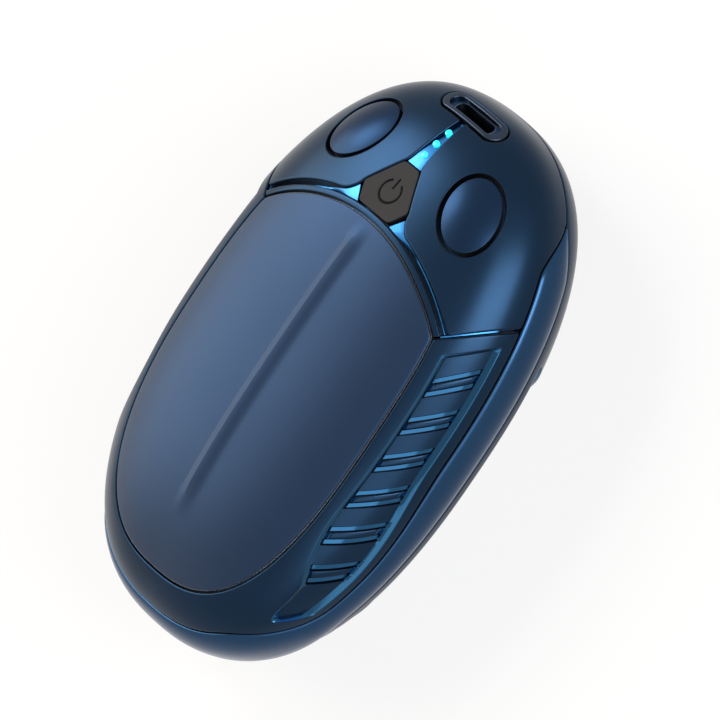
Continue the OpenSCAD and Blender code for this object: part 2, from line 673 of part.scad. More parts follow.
module head_shell() {
    stops = head_stops(shoulder_low_angle);
    top = [for (i = [len(stops) - 1:-1:0]) head_row(stops[i], true)];
    bot = [for (i = [len(stops) - 1:-1:0]) head_row(stops[i], false)];
    slab(across(top), across(bot));
}
// A strip from the left end over the middle to the right end.
function across(list) = concat(
    [for (i = [len(list) - 1:-1:1]) [for (p = list[i]) flipped(p)]], list);

// Button frame: hexagon with long and short sides, one long side to the plate.
root3 = sqrt(3);
long_side = (button_long + 2*button_short)/(2*root3);
short_side = (2*button_long + button_short)/(2*root3);
button_y = plate_crown + plate_gap + strip_width + button_gap + long_side;
button_z = height(lift(0, button_y)) + mid;
rim_top = button_z - rim_drop;
board_top = rim_top - rim_gap - rim_thickness - switch_total;
board_y = button_y + board_shift;
function hexagon(grow) = let(a = button_long/2, b = button_short, l = long_side,
    pts = [[-a, -l], [a, -l], [a + b/2, b*root3/2 - l],
        [b/2, short_side], [-b/2, short_side], [-a - b/2, b*root3/2 - l]])
    [for (p = pts) p*(1 + grow/long_side)];
module hex_prism(grow, low, high) {
    translate([0, button_y, low]) linear_extrude(height = high - low) polygon(hexagon(grow));
}

// Side arms: strip between two circles about the arc centre, flared at the button.
strip_edge = arc_radius + plate_gap + strip_width;
lobe_edge = strip_edge + arm_width;
arm_steps = 12;
// Polar angle of the point at x on a circle about the arc centre.
function arc_angle(r, x) = atan2(arc_mid + sqrt(r*r - x*x), x);
arm_starts = [arc_angle(strip_edge, arm_inner_side), arc_angle(lobe_edge + flare_width, arm_outer_side)];
arm_flare_end = arc_angle(lobe_edge, arm_flare_side);
function arm_point(u, side, inset, d) =
    let(t = mix(arm_starts[side], shoulder_top_angle, u),
        f = flare_width*pow(max(0, (t - arm_flare_end)/(arm_starts[1] - arm_flare_end)), 2),
        r = side == 0 ? arc_polar(strip_edge + inset, t) : arc_polar(lobe_edge - inset + f, t))
    above(r*cos(t), r*sin(t), d);
// A bar along a side arm from share a to share b, between two depths.
module arm_bar(a, b, inset, d0, d1, floor_depth) {
    us = concat([a], [for (i = [1:arm_steps - 1]) i/arm_steps], [b]);
    top = [for (u = us) let(d = mix(d0, d1, ease(2*u)))
        [arm_point(u, 0, inset, d), arm_point(u, 1, inset, d)]];
    bot = [for (u = us) [arm_point(u, 0, inset, floor_depth), arm_point(u, 1, inset, floor_depth)]];
    slab(top, bot);
}
// Strip along the shoulder seam at rise e from the arm to the band.
shoulder_steps = 6;
function corner_rise() = let(r = arc_polar(strip_edge, shoulder_top_angle))
    lift(r*cos(shoulder_top_angle), r*sin(shoulder_top_angle));
function seam_point(u, side, d) = let(e = mix(corner_rise(), rise(flank_z + seam_gap), u),
    t = mix(shoulder_top_angle, shoulder_low_angle, u),
    h = atan((shoulder_gap/2 - trim_gap)/half_w)/2)
    skin(t - h + (side == 0 ? -h : h), e, d);
module shoulder_bar() {
    top = [for (i = [0:shoulder_steps]) let(u = i/shoulder_steps)
        [seam_point(u, 0, trim_end_depth/2), seam_point(u, 1, trim_end_depth/2)]];
    bot = [for (i = [0:shoulder_steps]) let(u = i/shoulder_steps)
        [seam_point(u, 0, channel_depth), seam_point(u, 1, channel_depth)]];
    slab(top, bot);
}

// Head arm: tapering strip along the middle from the button to the port.
// Power of the head arm's taper, below 1 narrows early.
arm_taper = 0.6;
head_arm_start = button_y + short_side;
port_y = half_l - port_margin;
port_rise = lift(0, port_y);
port_normal = slope(0, port_y, height(port_rise));
port_lean = atan2(port_normal[1], port_normal[2]);
port_z = height(port_rise) + mid;
bezel_half = slot_height/2 + bezel_band;
head_arm_end = port_y - (bezel_half + bezel_gap)*cos(port_lean);
function head_arm_x(y) = mix(head_arm_half, head_arm_tip,
    pow(min(1, max(0, (y - head_arm_start)/(head_arm_end - head_arm_start))), arm_taper));
module head_bar(y0, y1, inset, d0, floor_depth) {
    top = [for (i = [0:arm_steps]) let(y = mix(y0, y1, i/arm_steps), x = head_arm_x(y) - inset)
        [above(-x, y, d0), above(x, y, d0)]];
    bot = [for (i = [0:arm_steps]) let(y = mix(y0, y1, i/arm_steps), x = head_arm_x(y) - inset)
        [above(-x, y, floor_depth), above(x, y, floor_depth)]];
    slab(bot, top);
}
function light_y(i) = head_arm_start + light_start + light_pitch*i;
module at_light(i) {
    z = height(lift(0, light_y(i)));
    n = slope(0, light_y(i), z);
    translate([0, light_y(i), z + mid]) rotate([-atan2(n[1], n[2]), 0, 0]) children();
}

// Frames of the eyes and of the port on the head cover.
eye_side = half_w - eye_side_margin;
eye_head = half_l - eye_head_margin;
module at_eye(s) {
    translate([s*eye_side, eye_head, height(lift(eye_side, eye_head)) + mid])
        rotate([-eye_lean, 0, 0]) rotate([0, s*eye_side_lean, s*eye_turn]) children();
}
module at_port() {
    translate([0, port_y, port_z]) rotate([-port_lean, 0, 0]) children();
}
// Upright bar with round ends, w wide and h high, along the local Z axis.
module stadium(w, h, low, high) {
    for (s = [-1, 1]) translate([s*(w - h)/2, 0, low]) cylinder(h = high - low, d = h, $fn = fine);
    translate([-(w - h)/2, -h/2, low]) cube([w - h, h, high - low]);
}

// Openings in the head cover for the button, the lights and the port.
module button_opening() {
    hex_prism(button_gap, mid, button_z + over);
    hex_prism(button_gap + button_rim, 0, rim_top + rim_gap);
}
module light_holes() {
    for (i = [0:light_count - 1]) at_light(i)
        translate([0, 0, -over]) cylinder(h = 2*over, r = light_radius + light_gap, $fn = fine);
}
module port_opening() {
    at_port() stadium(slot_length + 2*(bezel_rim + bezel_gap), 2*(bezel_half + bezel_gap), -2*over, over);
}
// Shares by which the channel runs past the ends of its trim.
arm_over_share = 0.05;
module head_cover() {
    color("#33496a") difference() {
        head_shell();
        button_opening();
        for (m = [0, 1]) mirror([m, 0, 0])
            arm_bar(-arm_over_share, 1 + arm_over_share, 0, -over/2, -over/2, channel_depth);
        head_bar(head_arm_start - strip_width, head_arm_end + strip_width, 0, -over/2, channel_depth);
        for (s = [-1, 1]) at_eye(s) translate([0, 0, -eye_depth])
            scale([eye_short/eye_long, 1, 1]) cylinder(h = eye_depth + over, r = eye_long, $fn = finer);
        port_opening();
        light_holes();
    }
}

// Share of the half width at which the bevel of a plate begins.
rim_share = 0.985;
module plate_grid_slab(front) {
    fs = concat([-1, -rim_share], [for (i = [1:plate_columns - 1]) let(f = 2*i/plate_columns - 1)
        abs(f)*plate_columns < 3 ? f*(f < 0 ? ridge_left : ridge_right)/plate_half*plate_columns/2 : f],
        [rim_share, 1]);
    vs = concat([0, 1 - rim_share], [for (i = [1:plate_rows - 1]) i/plate_rows], [rim_share, 1]);
    top = [for (v = vs) [for (f = fs) plate_point(f, v, front ? -ridge(f, v) : 0, true)]];
    bot = [for (v = vs) [for (f = fs) plate_point(f, v, plate_thickness, false, front ? 0 : rest_cut)]];
    slab(top, bot);
}
// Point on the plate: f goes across and v from the tail to the head.
plate_turn_share = 0.86;
function plate_xy(f, v) = let(yl = plate_mid - plate_tail*plate_turn_share,
    y = mix(yl, plate_corner, v), w = plate_x(y), x = f*w,
    lo = plate_low(f*plate_x(yl)) - yl, hi = plate_high(f*plate_side) - plate_corner)
    [x, y + lo*(1 - v) + hi*v];
function edge_fall(f, v) = (abs(f) == 1 || v == 0 || v == 1) ? plate_bevel : 0;
// Height of the ridge: highest along the middle line, with its own width on each side.
function ridge(f, v) = let(p = plate_xy(f, v), w = abs(p[0])/(p[0] < 0 ? ridge_left : ridge_right),
    fade = ease((p[1] - ridge_tail)/ridge_tail_fade)*ease((plate_crown - p[1])/ridge_fade))
    ridge_height*fade*max(0, 1 - w);
function plate_point(f, v, d, bevel, flat = 0) = let(p = plate_xy(f, v),
    q = above(p[0], p[1], d + (bevel ? edge_fall(f, v) : 0)))
    flat > 0 ? [q[0], q[1], min(q[2], 2*mid - plate_thickness)] : q;

module front_plate() {
    color("#5c6f8f") plate_grid_slab(true);
}
module back_plate() {
    color("#5c6f8f") difference() {
        translate([0, 0, 2*mid]) mirror([0, 0, 1]) plate_grid_slab(false);
        translate([-body_width, -body_length, -body_depth]) cube([2*body_width, 2*body_length, body_depth]);
    }
}

// Layer under a plate between depths a and b, scaled to a share of the plate.
layer_columns = 8;
layer_rows = 10;
module under_plate(share, a, b, flat) {
    fs = [for (i = [0:layer_columns]) (2*i/layer_columns - 1)*share];
    vs = [for (i = [0:layer_rows]) mix((1 - share)/2, (1 + share)/2, i/layer_rows)];
    top = [for (v = vs) [for (f = fs) plate_point(f, v, a, false, 0)]];
    bot = [for (v = vs) [for (f = fs) let(q = plate_point(f, v, a, false, 0)) flat > 0 ? [q[0], q[1], flat]
        : plate_point(f, v, b, false, 0)]];
    slab(top, bot);
}
film_share = 1 - film_margin/plate_half;
foam_share = 1 - foam_margin/plate_half;
film_top = plate_thickness + film_gap;
film_low = film_top + film_thickness;
module front_heater() {
    color("#b5651d") under_plate(film_share, film_top, film_low, 0);
}
module back_heater() {
    color("#b5651d") translate([0, 0, 2*mid]) mirror([0, 0, 1])
        under_plate(film_share, film_top + rest_cut, film_low + rest_cut, 0);
}
foam_level = mid + cell_tape/2 + cell_thickness + seam_gap/2;
module front_foam() {
    color("#d9d9d6") under_plate(foam_share, film_low + seam_gap + 2*sensor_radius, 0, foam_level);
}
module back_foam() {
    color("#d9d9d6") translate([0, 0, 2*mid]) mirror([0, 0, 1])
        under_plate(foam_share, film_low + seam_gap + rest_cut, 0, foam_level);
}
module thermistor() {
    p = above(0, -cell_shift, film_low + sensor_radius + eps);
    color("#1d1d1f") translate([-sensor_length/2, p[1], p[2]]) rotate([0, right, 0])
        cylinder(h = sensor_length, r = sensor_radius, $fn = fine);
}

trim_floor = channel_depth - trim_gap/2;
module head_trim() {
    color("#5fb0f0") difference() {
        head_bar(head_arm_start, head_arm_end, trim_gap, trim_start_depth, trim_floor);
        button_opening();
        port_opening();
        light_holes();
    }
}
// Shares of the side arm between which its trim lies.
arm_trim_from_share = 0;
arm_trim_to_share = 0.99;
module right_trim() {
    color("#5fb0f0") difference() {
        union() {
            arm_bar(arm_trim_from_share, arm_trim_to_share, trim_gap,
                trim_start_depth, trim_end_depth, trim_floor);
            shoulder_bar();
        }
        button_opening();
    }
}
module left_trim() {
    mirror([1, 0, 0]) right_trim();
}

module button_symbol() {
    deep = symbol_depth + over;
    rotate([0, 0, right + symbol_opening/2]) rotate_extrude(angle = tau - symbol_opening, $fn = fine)
        translate([symbol_radius - symbol_line/2, -symbol_depth]) square([symbol_line, deep]);
    translate([-symbol_line/2, symbol_radius/4, -symbol_depth]) cube([symbol_line, symbol_radius, deep]);
}
module power_button() {
    color("#454545") difference() {
        union() {
            hex_prism(0, rim_top - eps, button_z + over/2);
            hex_prism(button_rim, rim_top - rim_thickness, rim_top);
            translate([0, button_y, rim_top - rim_thickness - rim_gap])
                cylinder(h = rim_thickness, r = stem_radius, $fn = fine);
        }
        translate([0, button_y, button_z]) rotate([-button_lean, 0, 0]) {
            translate([-button_long, -button_long, 0]) cube([2*button_long, 2*button_long, 2*over]);
            button_symbol();
        }
    }
}

dome_rings = 6;
dome_sides = 32;
module eye_dome(s) {
    a = eye_long - eye_groove;
    b = eye_short - eye_groove;
    color("#35506f") at_eye(s) translate([0, 0, -eye_depth]) hull() {
        for (i = [0:dome_rings - 1]) let(t = right*i/dome_rings)
            scale([b/a*cos(t), cos(t), 1]) cylinder(h = eye_edge + eye_crown*pow(sin(t), 2), r = a,
                $fn = dome_sides);
        cylinder(h = eye_edge + eye_crown, r = eps, $fn = dome_sides);
    }
}
module left_eye() {
    eye_dome(-1);
}
module right_eye() {
    eye_dome(1);
}

module port_bezel() {
    color("#7d838c") at_port() difference() {
        intersection() {
            stadium(slot_length + 2*bezel_rim, 2*bezel_half, -bezel_depth, bezel_proud + eps);
            translate([0, 2*bezel_half, bezel_proud - bezel_round]) rotate([right, 0, 0])
                cylinder(h = 4*bezel_half, r = bezel_round, $fn = 2*finer);
        }
        stadium(slot_length, slot_height, -slot_depth, over);
        stadium(socket_width + 2*trim_gap, socket_height + 2*trim_gap, -2*over, -slot_depth + eps);
    }
}
module usb_socket() {
    color("#b9bcc0") at_port() difference() {
        stadium(socket_width, socket_height, -slot_depth - socket_length, -slot_depth);
        stadium(mouth_width, mouth_height, -slot_depth - mouth_depth, over);
    }
}
module usb_tongue() {
    color("#1b1b1d") at_port()
        translate([-tongue_width/2, -tongue_thickness/2, -slot_depth - mouth_depth])
            cube([tongue_width, tongue_thickness, tongue_length + eps]);
}
port_board_deep = slot_depth + socket_length + port_board_thickness;
module port_board() {
    color("#1e5a3a") at_port() translate([-port_board_width/2, -port_board_height/2, -port_board_deep])
        cube([port_board_width, port_board_height, port_board_thickness]);
}

module indicator_lenses() {
    color("#00f0ff") for (i = [0:light_count - 1]) at_light(i)
        translate([0, 0, -head_wall]) cylinder(h = head_wall, r = light_radius, $fn = fine);
}
module indicator_leds() {
    color("#f4f4ee") for (i = [0:light_count - 1]) at_light(i)
        translate([-led_half, -led_half, -head_wall - led_height - led_gap])
            cube([2*led_half, 2*led_half, led_height]);
}
module led_strip() {
    d = head_wall + led_gap + led_height + led_gap;
    y0 = light_y(0) - light_pitch/2;
    y1 = light_y(light_count - 1) + light_pitch/2;
    top = [for (i = [0:arm_steps]) let(y = mix(y0, y1, i/arm_steps))
        [above(-light_strip_half, y, d), above(0, y, d), above(light_strip_half, y, d)]];
    bot = [for (i = [0:arm_steps]) let(y = mix(y0, y1, i/arm_steps), e = d + light_strip_thickness)
        [above(-light_strip_half, y, e), above(0, y, e), above(light_strip_half, y, e)]];
    color("#c98a2b") slab(bot, top);
}

// Plate with round corners, w by l, centred, from low to high.
module rounded(w, l, r, low, high) {
    translate([-w/2 + r, -l/2, low]) cube([w - 2*r, l, high - low]);
    translate([-w/2, -l/2 + r, low]) cube([w, l - 2*r, high - low]);
    for (x = [-1, 1]) for (y = [-1, 1]) translate([x*(w/2 - r), y*(l/2 - r), low])
        cylinder(h = high - low, r = r, $fn = fine);
}
module front_cell() {
    color("#aeb4ba") translate([0, -cell_shift, mid])
        rounded(cell_width, cell_length, cell_corner, cell_tape/2, cell_tape/2 + cell_thickness);
}
module back_cell() {
    color("#aeb4ba") translate([0, -cell_shift, mid])
        rounded(cell_width, cell_length, cell_corner, -cell_tape/2 - cell_thickness, -cell_tape/2);
}
tray_w = cell_width + 2*(cell_gap + tray_wall);
tray_l = cell_length + 2*(cell_gap + tray_wall);
tray_head = -cell_shift + tray_l/2;
tray_tail = tray_head - tray_l;
board_low = board_top - board_thickness;
function board_screws_at() = [for (x = [-1, 1]) for (y = [-1, 1])
    [x*board_screw_side, board_y + y*board_screw_along]];
shelf_half = board_screw_side + board_post_radius + shelf_edge;
shelf_tail = tray_head - tray_wall/2;
shelf_head = board_y + board_screw_along + shelf_edge;
module cell_tray() {
    color("#3a3d42") difference() {
        union() {
            translate([0, -cell_shift, mid]) difference() {
                rounded(tray_w, tray_l, cell_corner + tray_wall, -tray_half, tray_half);
                rounded(tray_w - 2*tray_wall, tray_l - 2*tray_wall, cell_corner, -2*tray_half, 2*tray_half);
            }
            for (p = lug_places()) translate([p[0], p[1], mid]) {
                cylinder(h = lug_thickness, r = lug_radius, $fn = fine);
                translate([p[0] > 0 ? tray_w/2 - lug_side - tray_wall/2 : 0, -lug_radius, 0])
                    cube([lug_side - tray_w/2 + tray_wall/2, 2*lug_radius, lug_thickness]);
            }
            translate([-shelf_half, shelf_tail, mid - tray_half])
                cube([2*shelf_half, shelf_head - shelf_tail, shelf_thickness]);
            for (p = board_screws_at()) translate([p[0], p[1], mid - tray_half])
                cylinder(h = board_low - mid + tray_half, r = board_post_radius, $fn = fine);
        }
        wire_notch();
        for (p = lug_places()) translate([p[0], p[1], mid - eps])
            cylinder(h = lug_thickness + 2*eps, r = screw_radius + seam_gap, $fn = fine);
        for (p = board_screws_at()) translate([p[0], p[1], board_low - screw_length])
            cylinder(h = screw_length + eps, r = pilot_radius, $fn = fine);
    }
}
module main_board() {
    color("#1e5a3a") translate([0, board_y, 0]) difference() {
        rounded(board_width, board_length, board_corner, board_low, board_top);
        for (x = [-1, 1]) for (y = [-1, 1])
            translate([x*board_screw_side, y*board_screw_along, board_low - eps])
                cylinder(h = board_thickness + 2*eps, r = screw_radius + seam_gap, $fn = fine);
    }
}
module screw(length) {
    difference() {
        union() {
            translate([0, 0, -length]) cylinder(h = length + eps, r = screw_radius, $fn = fine);
            cylinder(h = head_height, r = head_radius, $fn = fine);
        }
        for (a = [0, right]) rotate([0, 0, a])
            translate([-head_radius/2, -drive_width/2, head_height - drive_depth])
                cube([head_radius, drive_width, drive_depth + eps]);
    }
}
module board_screws() {
    color("#c3c6ca") for (p = board_screws_at()) translate([p[0], p[1], board_top]) screw(screw_length);
}
module tray_screws() {
    color("#c3c6ca") for (p = lug_places())
        translate([p[0], p[1], mid + lug_thickness]) screw(screw_length);
}
module switch_body() {
    color("#202124") translate([0, button_y, board_top]) difference() {
        translate([-switch_width/2, -switch_width/2, 0]) cube([switch_width, switch_width, switch_height]);
        translate([0, 0, switch_height - plunger_foot - button_travel - rim_gap])
            cylinder(h = plunger_foot + over, r = plunger_radius + plunger_gap, $fn = fine);
    }
}
module switch_plunger() {
    color("#c7352c") translate([0, button_y, board_top + switch_height - plunger_foot])
        cylinder(h = switch_total - switch_height + plunger_foot, r = plunger_radius, $fn = fine);
}
module controller_chip() {
    y = board_y - board_length/4 - chip_width/2;
    color("#17181a") translate([switch_width/2 + part_gap, y, board_top])
        cube([chip_width, chip_width, chip_height]);
}
module power_inductor() {
    color("#4b4d50") translate([-switch_width/2 - part_gap - coil_width, board_y - coil_width/2, board_top])
        cube([coil_width, coil_width, coil_height]);
}
module capacitors() {
    color("#b08d57") for (i = [0:cap_count - 1])
        translate([switch_width/2 + part_gap + cap_pitch*i, board_y + cap_length/2, board_top])
            cube([cap_width, cap_length, cap_width]);
}
module cell_plug() {
    color("#efe9d8") translate([-plug_width/2, board_y - board_length/2, board_low - plug_height])
        cube([plug_width, plug_width, plug_height]);
}

// Round wire through a list of points.
module wire(pts) {
    for (i = [0:len(pts) - 2]) {
        d = pts[i + 1] - pts[i];
        translate(pts[i]) rotate([0, acos(d[2]/norm(d)), atan2(d[1], d[0])])
            cylinder(h = norm(d), r = wire_radius, $fn = fine);
        if (i > 0) translate(pts[i]) sphere(r = wire_radius + 2*eps, $fn = fine);
    }
}
plug_level = board_low - plug_height/2;
// The wires run up beside the tray's head wall.
wire_y = tray_head + wire_radius + wire_clear;
board_tail = board_y - board_length/2;
wire_top = mid + tray_half + wire_radius + wire_clear;
module cell_wires() {
    for (s = [-1, 1]) color(s > 0 ? "#c4281f" : "#1a1a1c") let(x = s*wire_pitch/2) wire([
        [x, board_tail, plug_level],
        [x, wire_y, plug_level],
        [x, wire_y, wire_top],
        [x, cell_length/2 - cell_shift, wire_top]]);
}

// Wires of the front heater end on top of the main board, those of the back one under it.
film_head = plate_xy(0, (1 + film_share)/2)[1] - 2*(wire_radius + wire_clear);
function wires_across(s) = [for (k = [-1, 1]) s*heater_wire_side + k*wire_pitch/2];
function heater_route(x, start, bend, level, goal) = [start, [x, start[1], bend], [x, wire_y, bend],
    [x, wire_y, level], [x, board_tail + wire_end, level], [x, board_tail + wire_end, goal]];
module heater_wires() {
    color("#1a1a1c") for (x = wires_across(-1)) let(p = above(x, film_head, film_low + film_gap))
        wire(heater_route(p[0], p, p[2] - wire_end, board_top + wire_end, board_top));
    back_low = film_low + rest_cut + film_gap;
    color("#1a1a1c") for (x = wires_across(1)) let(p = turned(above(x, film_head, back_low)))
        wire(heater_route(p[0], p, p[2] + wire_end, board_low - wire_end, board_low));
}
// Passage in the tray's shelf for the wires of the back heater.
module wire_notch() {
    half = wire_pitch/2 + wire_radius + wire_clear;
    translate([heater_wire_side - half, tray_head, mid - tray_half - over])
        cube([2*half, 2*(wire_radius + wire_clear), shelf_thickness + 2*over]);
}
function port_at(x, v, w) = [x, port_y + v*cos(port_lean) + w*sin(port_lean),
    port_z - v*sin(port_lean) + w*cos(port_lean)];
// Flat cable from the port board to the underside of the main board. Its side
// outline is a line of points in Y and Z, thickened with mitred corners.
function side_of(d) = [-d[1], d[0]];
function mitre(a, b) = let(m = unit(side_of(a) + side_of(b))) m/(m*side_of(a));
function ribbon(pts, t) = let(n = len(pts), ds = [for (i = [0:n - 2]) unit(pts[i + 1] - pts[i])],
    ms = [for (i = [0:n - 1]) mitre(ds[max(0, i - 1)], ds[min(n - 2, i)])])
    concat([for (i = [0:n - 1]) pts[i] + ms[i]*t/2], [for (i = [n - 1:-1:0]) pts[i] - ms[i]*t/2]);
module port_cable() {
    p = port_at(0, -wire_end, -port_board_deep);
    q = port_at(0, -wire_end, -port_board_deep - wire_end);
    y = board_y + board_length/2 - 2*wire_end;
    route = [[p[1], p[2]], [q[1], q[2]], [y, q[2]], [y, board_low]];
    color("#c98a2b") rotate([right, 0, right])
        linear_extrude(height = cable_width, center = true) polygon(ribbon(route, cable_thickness));
}

front_frame();
head_cover();
mid_band();
back_shell();
front_plate();
back_plate();
head_trim();
left_trim();
right_trim();
power_button();
left_eye();
right_eye();
port_bezel();
usb_socket();
usb_tongue();
port_board();
port_cable();
indicator_lenses();
indicator_leds();
led_strip();
main_board();
controller_chip();
power_inductor();
capacitors();
switch_body();
switch_plunger();
cell_plug();
cell_wires();
front_cell();
back_cell();
cell_tray();
front_heater();
back_heater();
heater_wires();
thermistor();
front_foam();
back_foam();
board_screws();
tray_screws();
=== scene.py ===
# %% [markdown]
# # A rechargeable hand warmer
# The real object is a pebble of satin blue metallic plastic that warms the hand
# with a smooth plate on each face. Its head end carries a power button, three
# pin lights, a charging port and two oval domes, and both flanks are pressed
# with a row of paired slots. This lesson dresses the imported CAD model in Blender.
# The CAD model is the frame: it says where each piece sits and what moves.

import math

import bmesh
import bpy
import numpy as np
from mathutils import Matrix, Vector
from mathutils.geometry import delaunay_2d_cdt


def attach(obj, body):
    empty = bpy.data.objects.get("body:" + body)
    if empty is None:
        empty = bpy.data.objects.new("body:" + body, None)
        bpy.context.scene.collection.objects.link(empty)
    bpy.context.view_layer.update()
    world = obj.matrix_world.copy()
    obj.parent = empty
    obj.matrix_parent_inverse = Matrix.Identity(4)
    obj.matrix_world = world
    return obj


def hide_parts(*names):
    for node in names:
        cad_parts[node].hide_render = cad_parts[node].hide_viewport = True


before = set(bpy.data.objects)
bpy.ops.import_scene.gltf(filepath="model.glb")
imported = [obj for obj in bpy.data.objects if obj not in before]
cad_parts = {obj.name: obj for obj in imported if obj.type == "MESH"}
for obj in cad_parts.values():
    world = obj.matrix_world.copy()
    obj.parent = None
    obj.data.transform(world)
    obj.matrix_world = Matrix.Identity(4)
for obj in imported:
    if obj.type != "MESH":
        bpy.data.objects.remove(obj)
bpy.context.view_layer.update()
print("pieces in the frame:", len(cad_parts))

# %% [markdown]
# ## The body as one formula
# The shell could be modelled by pushing a subdivided box about, but every seam,
# plate and slot has to lie on one smooth surface. So the surface is a formula: a
# superellipse seen from above, and another one in the height. A point is named
# by its polar angle `t` and its rise `e`, which is 0 at the middle plane and a
# right angle at the top. All lengths here are millimetres, and become metres
# when a mesh is made.

# %% The surface of the body
MM = 0.001
HALF_W, HALF_L, HALF_D = 30.0, 49.0, 17.0
PLAN_POWER, DEPTH_POWER = 2.43, 2.57
REST_CUT = 0.6
MID = HALF_D - REST_CUT
RIGHT = math.pi / 2


def gauge(x, y):
    """Superellipse norm: the power sum of |x|/half width and |y|/half length, 1 on the outline."""
    p = PLAN_POWER
    return (np.abs(x / HALF_W) ** p + np.abs(y / HALF_L) ** p) ** (1 / p)


def shrink(e):
    """Share of the plan outline left at rise e: cosine of e to the power 2 over the depth power."""
    return np.maximum(np.cos(e), 0) ** (2 / DEPTH_POWER)


def height(e):
    """Height above the middle plane: half depth times the sine of e to the same power."""
    return np.sign(e) * HALF_D * np.abs(np.sin(e)) ** (2 / DEPTH_POWER)


def rise(z):
    """Inverse of height: the arc sine of |z| over half depth to the power half the depth power."""
    return np.sign(z) * np.arcsin(np.clip(np.abs(z) / HALF_D, 0, 1) ** (DEPTH_POWER / 2))


def lift(x, y):
    """Rise of the surface over plan position x, y: arc cosine of the gauge to half the depth power."""
    return np.arccos(np.clip(gauge(x, y), 0, 1) ** (DEPTH_POWER / 2))


def slope(x, y, z):
    """Outward unit normal: the gradient of gauge^q + (|z|/half depth)^q, with q the depth power."""
    g = np.maximum(gauge(x, y), 1e-6) ** (DEPTH_POWER - PLAN_POWER)
    p, q = PLAN_POWER, DEPTH_POWER
    n = np.stack([g * np.sign(x) * np.abs(x) ** (p - 1) / HALF_W ** p,
                  g * np.sign(y) * np.abs(y) ** (p - 1) / HALF_L ** p,
                  np.sign(z) * np.abs(z) ** (q - 1) / HALF_D ** q], -1)
    return n / np.linalg.norm(n, axis=-1, keepdims=True)


def plan_radius(t):
    """Distance from the centre to the plan outline at polar angle t."""
    return 1 / gauge(np.cos(t), np.sin(t))


def sink(x, y, z, d):
    """Point x, y, z of the surface moved inwards by d along the normal, in the object's frame."""
    p = np.stack(np.broadcast_arrays(x, y, z), -1).astype(float)
    d = np.asarray(d, float)[..., None]
    return p - d * slope(p[..., 0], p[..., 1], p[..., 2]) + [0, 0, MID]


def skin(t, e, d=0.0):
    """Point at polar angle t and rise e, at depth d below the surface."""
    r = shrink(e) * plan_radius(t)
    return sink(r * np.cos(t), r * np.sin(t), height(e), d)


def above(x, y, d=0.0):
    """Point over plan position x, y on the upper half, at depth d below the surface."""
    return sink(x, y, height(lift(x, y)), d)


def ease(u):
    """Smooth step: 3u^2 - 2u^3 with u kept between 0 and 1."""
    u = np.clip(u, 0, 1)
    return u * u * (3 - 2 * u)


def mix(a, b, u):
    """Straight blend from a to b."""
    return a + (b - a) * u


print("crown of the body at", above(0.0, 0.0).round(2))

# %% [markdown]
# ## Edges are what catch the light
# Moulded parts never have knife edges: each one ends in a radius of a few tenths
# of a millimetre, and that radius draws the thin bright lines in the photograph.
# A Bevel modifier would round everything alike and cost many faces, so the
# radius is part of each piece's own grid: the last rows step along a quarter
# circle, and then go straight down the wall.

# %% Edges and meshes
EDGE_STEPS = 4
quarter = np.linspace(0, RIGHT, EDGE_STEPS + 1)
edge_in, edge_down = 1 - np.sin(quarter), 1 - np.cos(quarter)


def add_object(name, data):
    """A new object in the scene."""
    made = bpy.data.objects.new(name, data)
    bpy.context.scene.collection.objects.link(made)
    return made


def rounded(share, radius, middle):
    """Places across a bar, from 0 to 1, and their depths, in one row for each share: a rounded edge
    as wide as that share of the bar, the places in the middle, and the other rounded edge."""
    share, radius = share[:, None], radius[:, None]
    across = [share * edge_in[::-1], np.asarray(middle) + 0 * share, 1 - share * edge_in]
    depths = [radius * edge_down[::-1], 0 * across[1], radius * edge_down]
    return np.concatenate(across, 1), np.concatenate(depths, 1)


def build(name, points, faces, marks=None, sharp=38.0):
    """A closed mesh of points in millimetres, outward faces, smooth except at edges over an angle."""
    mesh = bpy.data.meshes.new(name)
    mesh.from_pydata((np.asarray(points, float) * MM).tolist(), [], [list(map(int, f)) for f in faces])
    if marks is not None:
        mesh.polygons.foreach_set("material_index", np.asarray(marks, np.int32))
    work = bmesh.new()
    work.from_mesh(mesh)
    bmesh.ops.remove_doubles(work, verts=work.verts, dist=1e-7)
    bmesh.ops.dissolve_degenerate(work, edges=work.edges, dist=1e-8)
    bmesh.ops.recalc_face_normals(work, faces=work.faces)
    work.to_mesh(mesh)
    work.free()
    mesh.polygons.foreach_set("use_smooth", np.ones(len(mesh.polygons), bool))
    mesh.set_sharp_from_angle(angle=math.radians(sharp))
    return add_object(name, mesh)


def grid_faces(rows, cols, start=0, loop=False):
    """Quads of a grid of rows by cols points that begins at index start."""
    last = rows if loop else rows - 1
    i, j = np.meshgrid(np.arange(last), np.arange(cols - 1), indexing="ij")
    a = start + i * cols + j
    b = start + (i + 1) % rows * cols + j
    return np.stack([a, a + 1, b + 1, b], -1).reshape(-1, 4)


def slab_parts(top, low, loop=False):
    """Points and faces of the solid between two grids: top, underside and the walls between them."""
    rows, cols = top.shape[:2]
    n = rows * cols
    upper = grid_faces(rows, cols, loop=loop)
    under = grid_faces(rows, cols, n, loop)[:, ::-1]
    last = rows if loop else rows - 1
    walls = []
    for c in (0, cols - 1):
        a = np.arange(last) * cols + c
        b = (np.arange(last) + 1) % rows * cols + c
        walls.append(np.stack([a, b, b + n, a + n], -1))
    if not loop:
        for r in (0, rows - 1):
            a = r * cols + np.arange(cols - 1)
            walls.append(np.stack([a, a + 1, a + 1 + n, a + n], -1))
    points = np.concatenate([top.reshape(-1, 3), low.reshape(-1, 3)])
    return points, np.concatenate([upper, under, *walls])


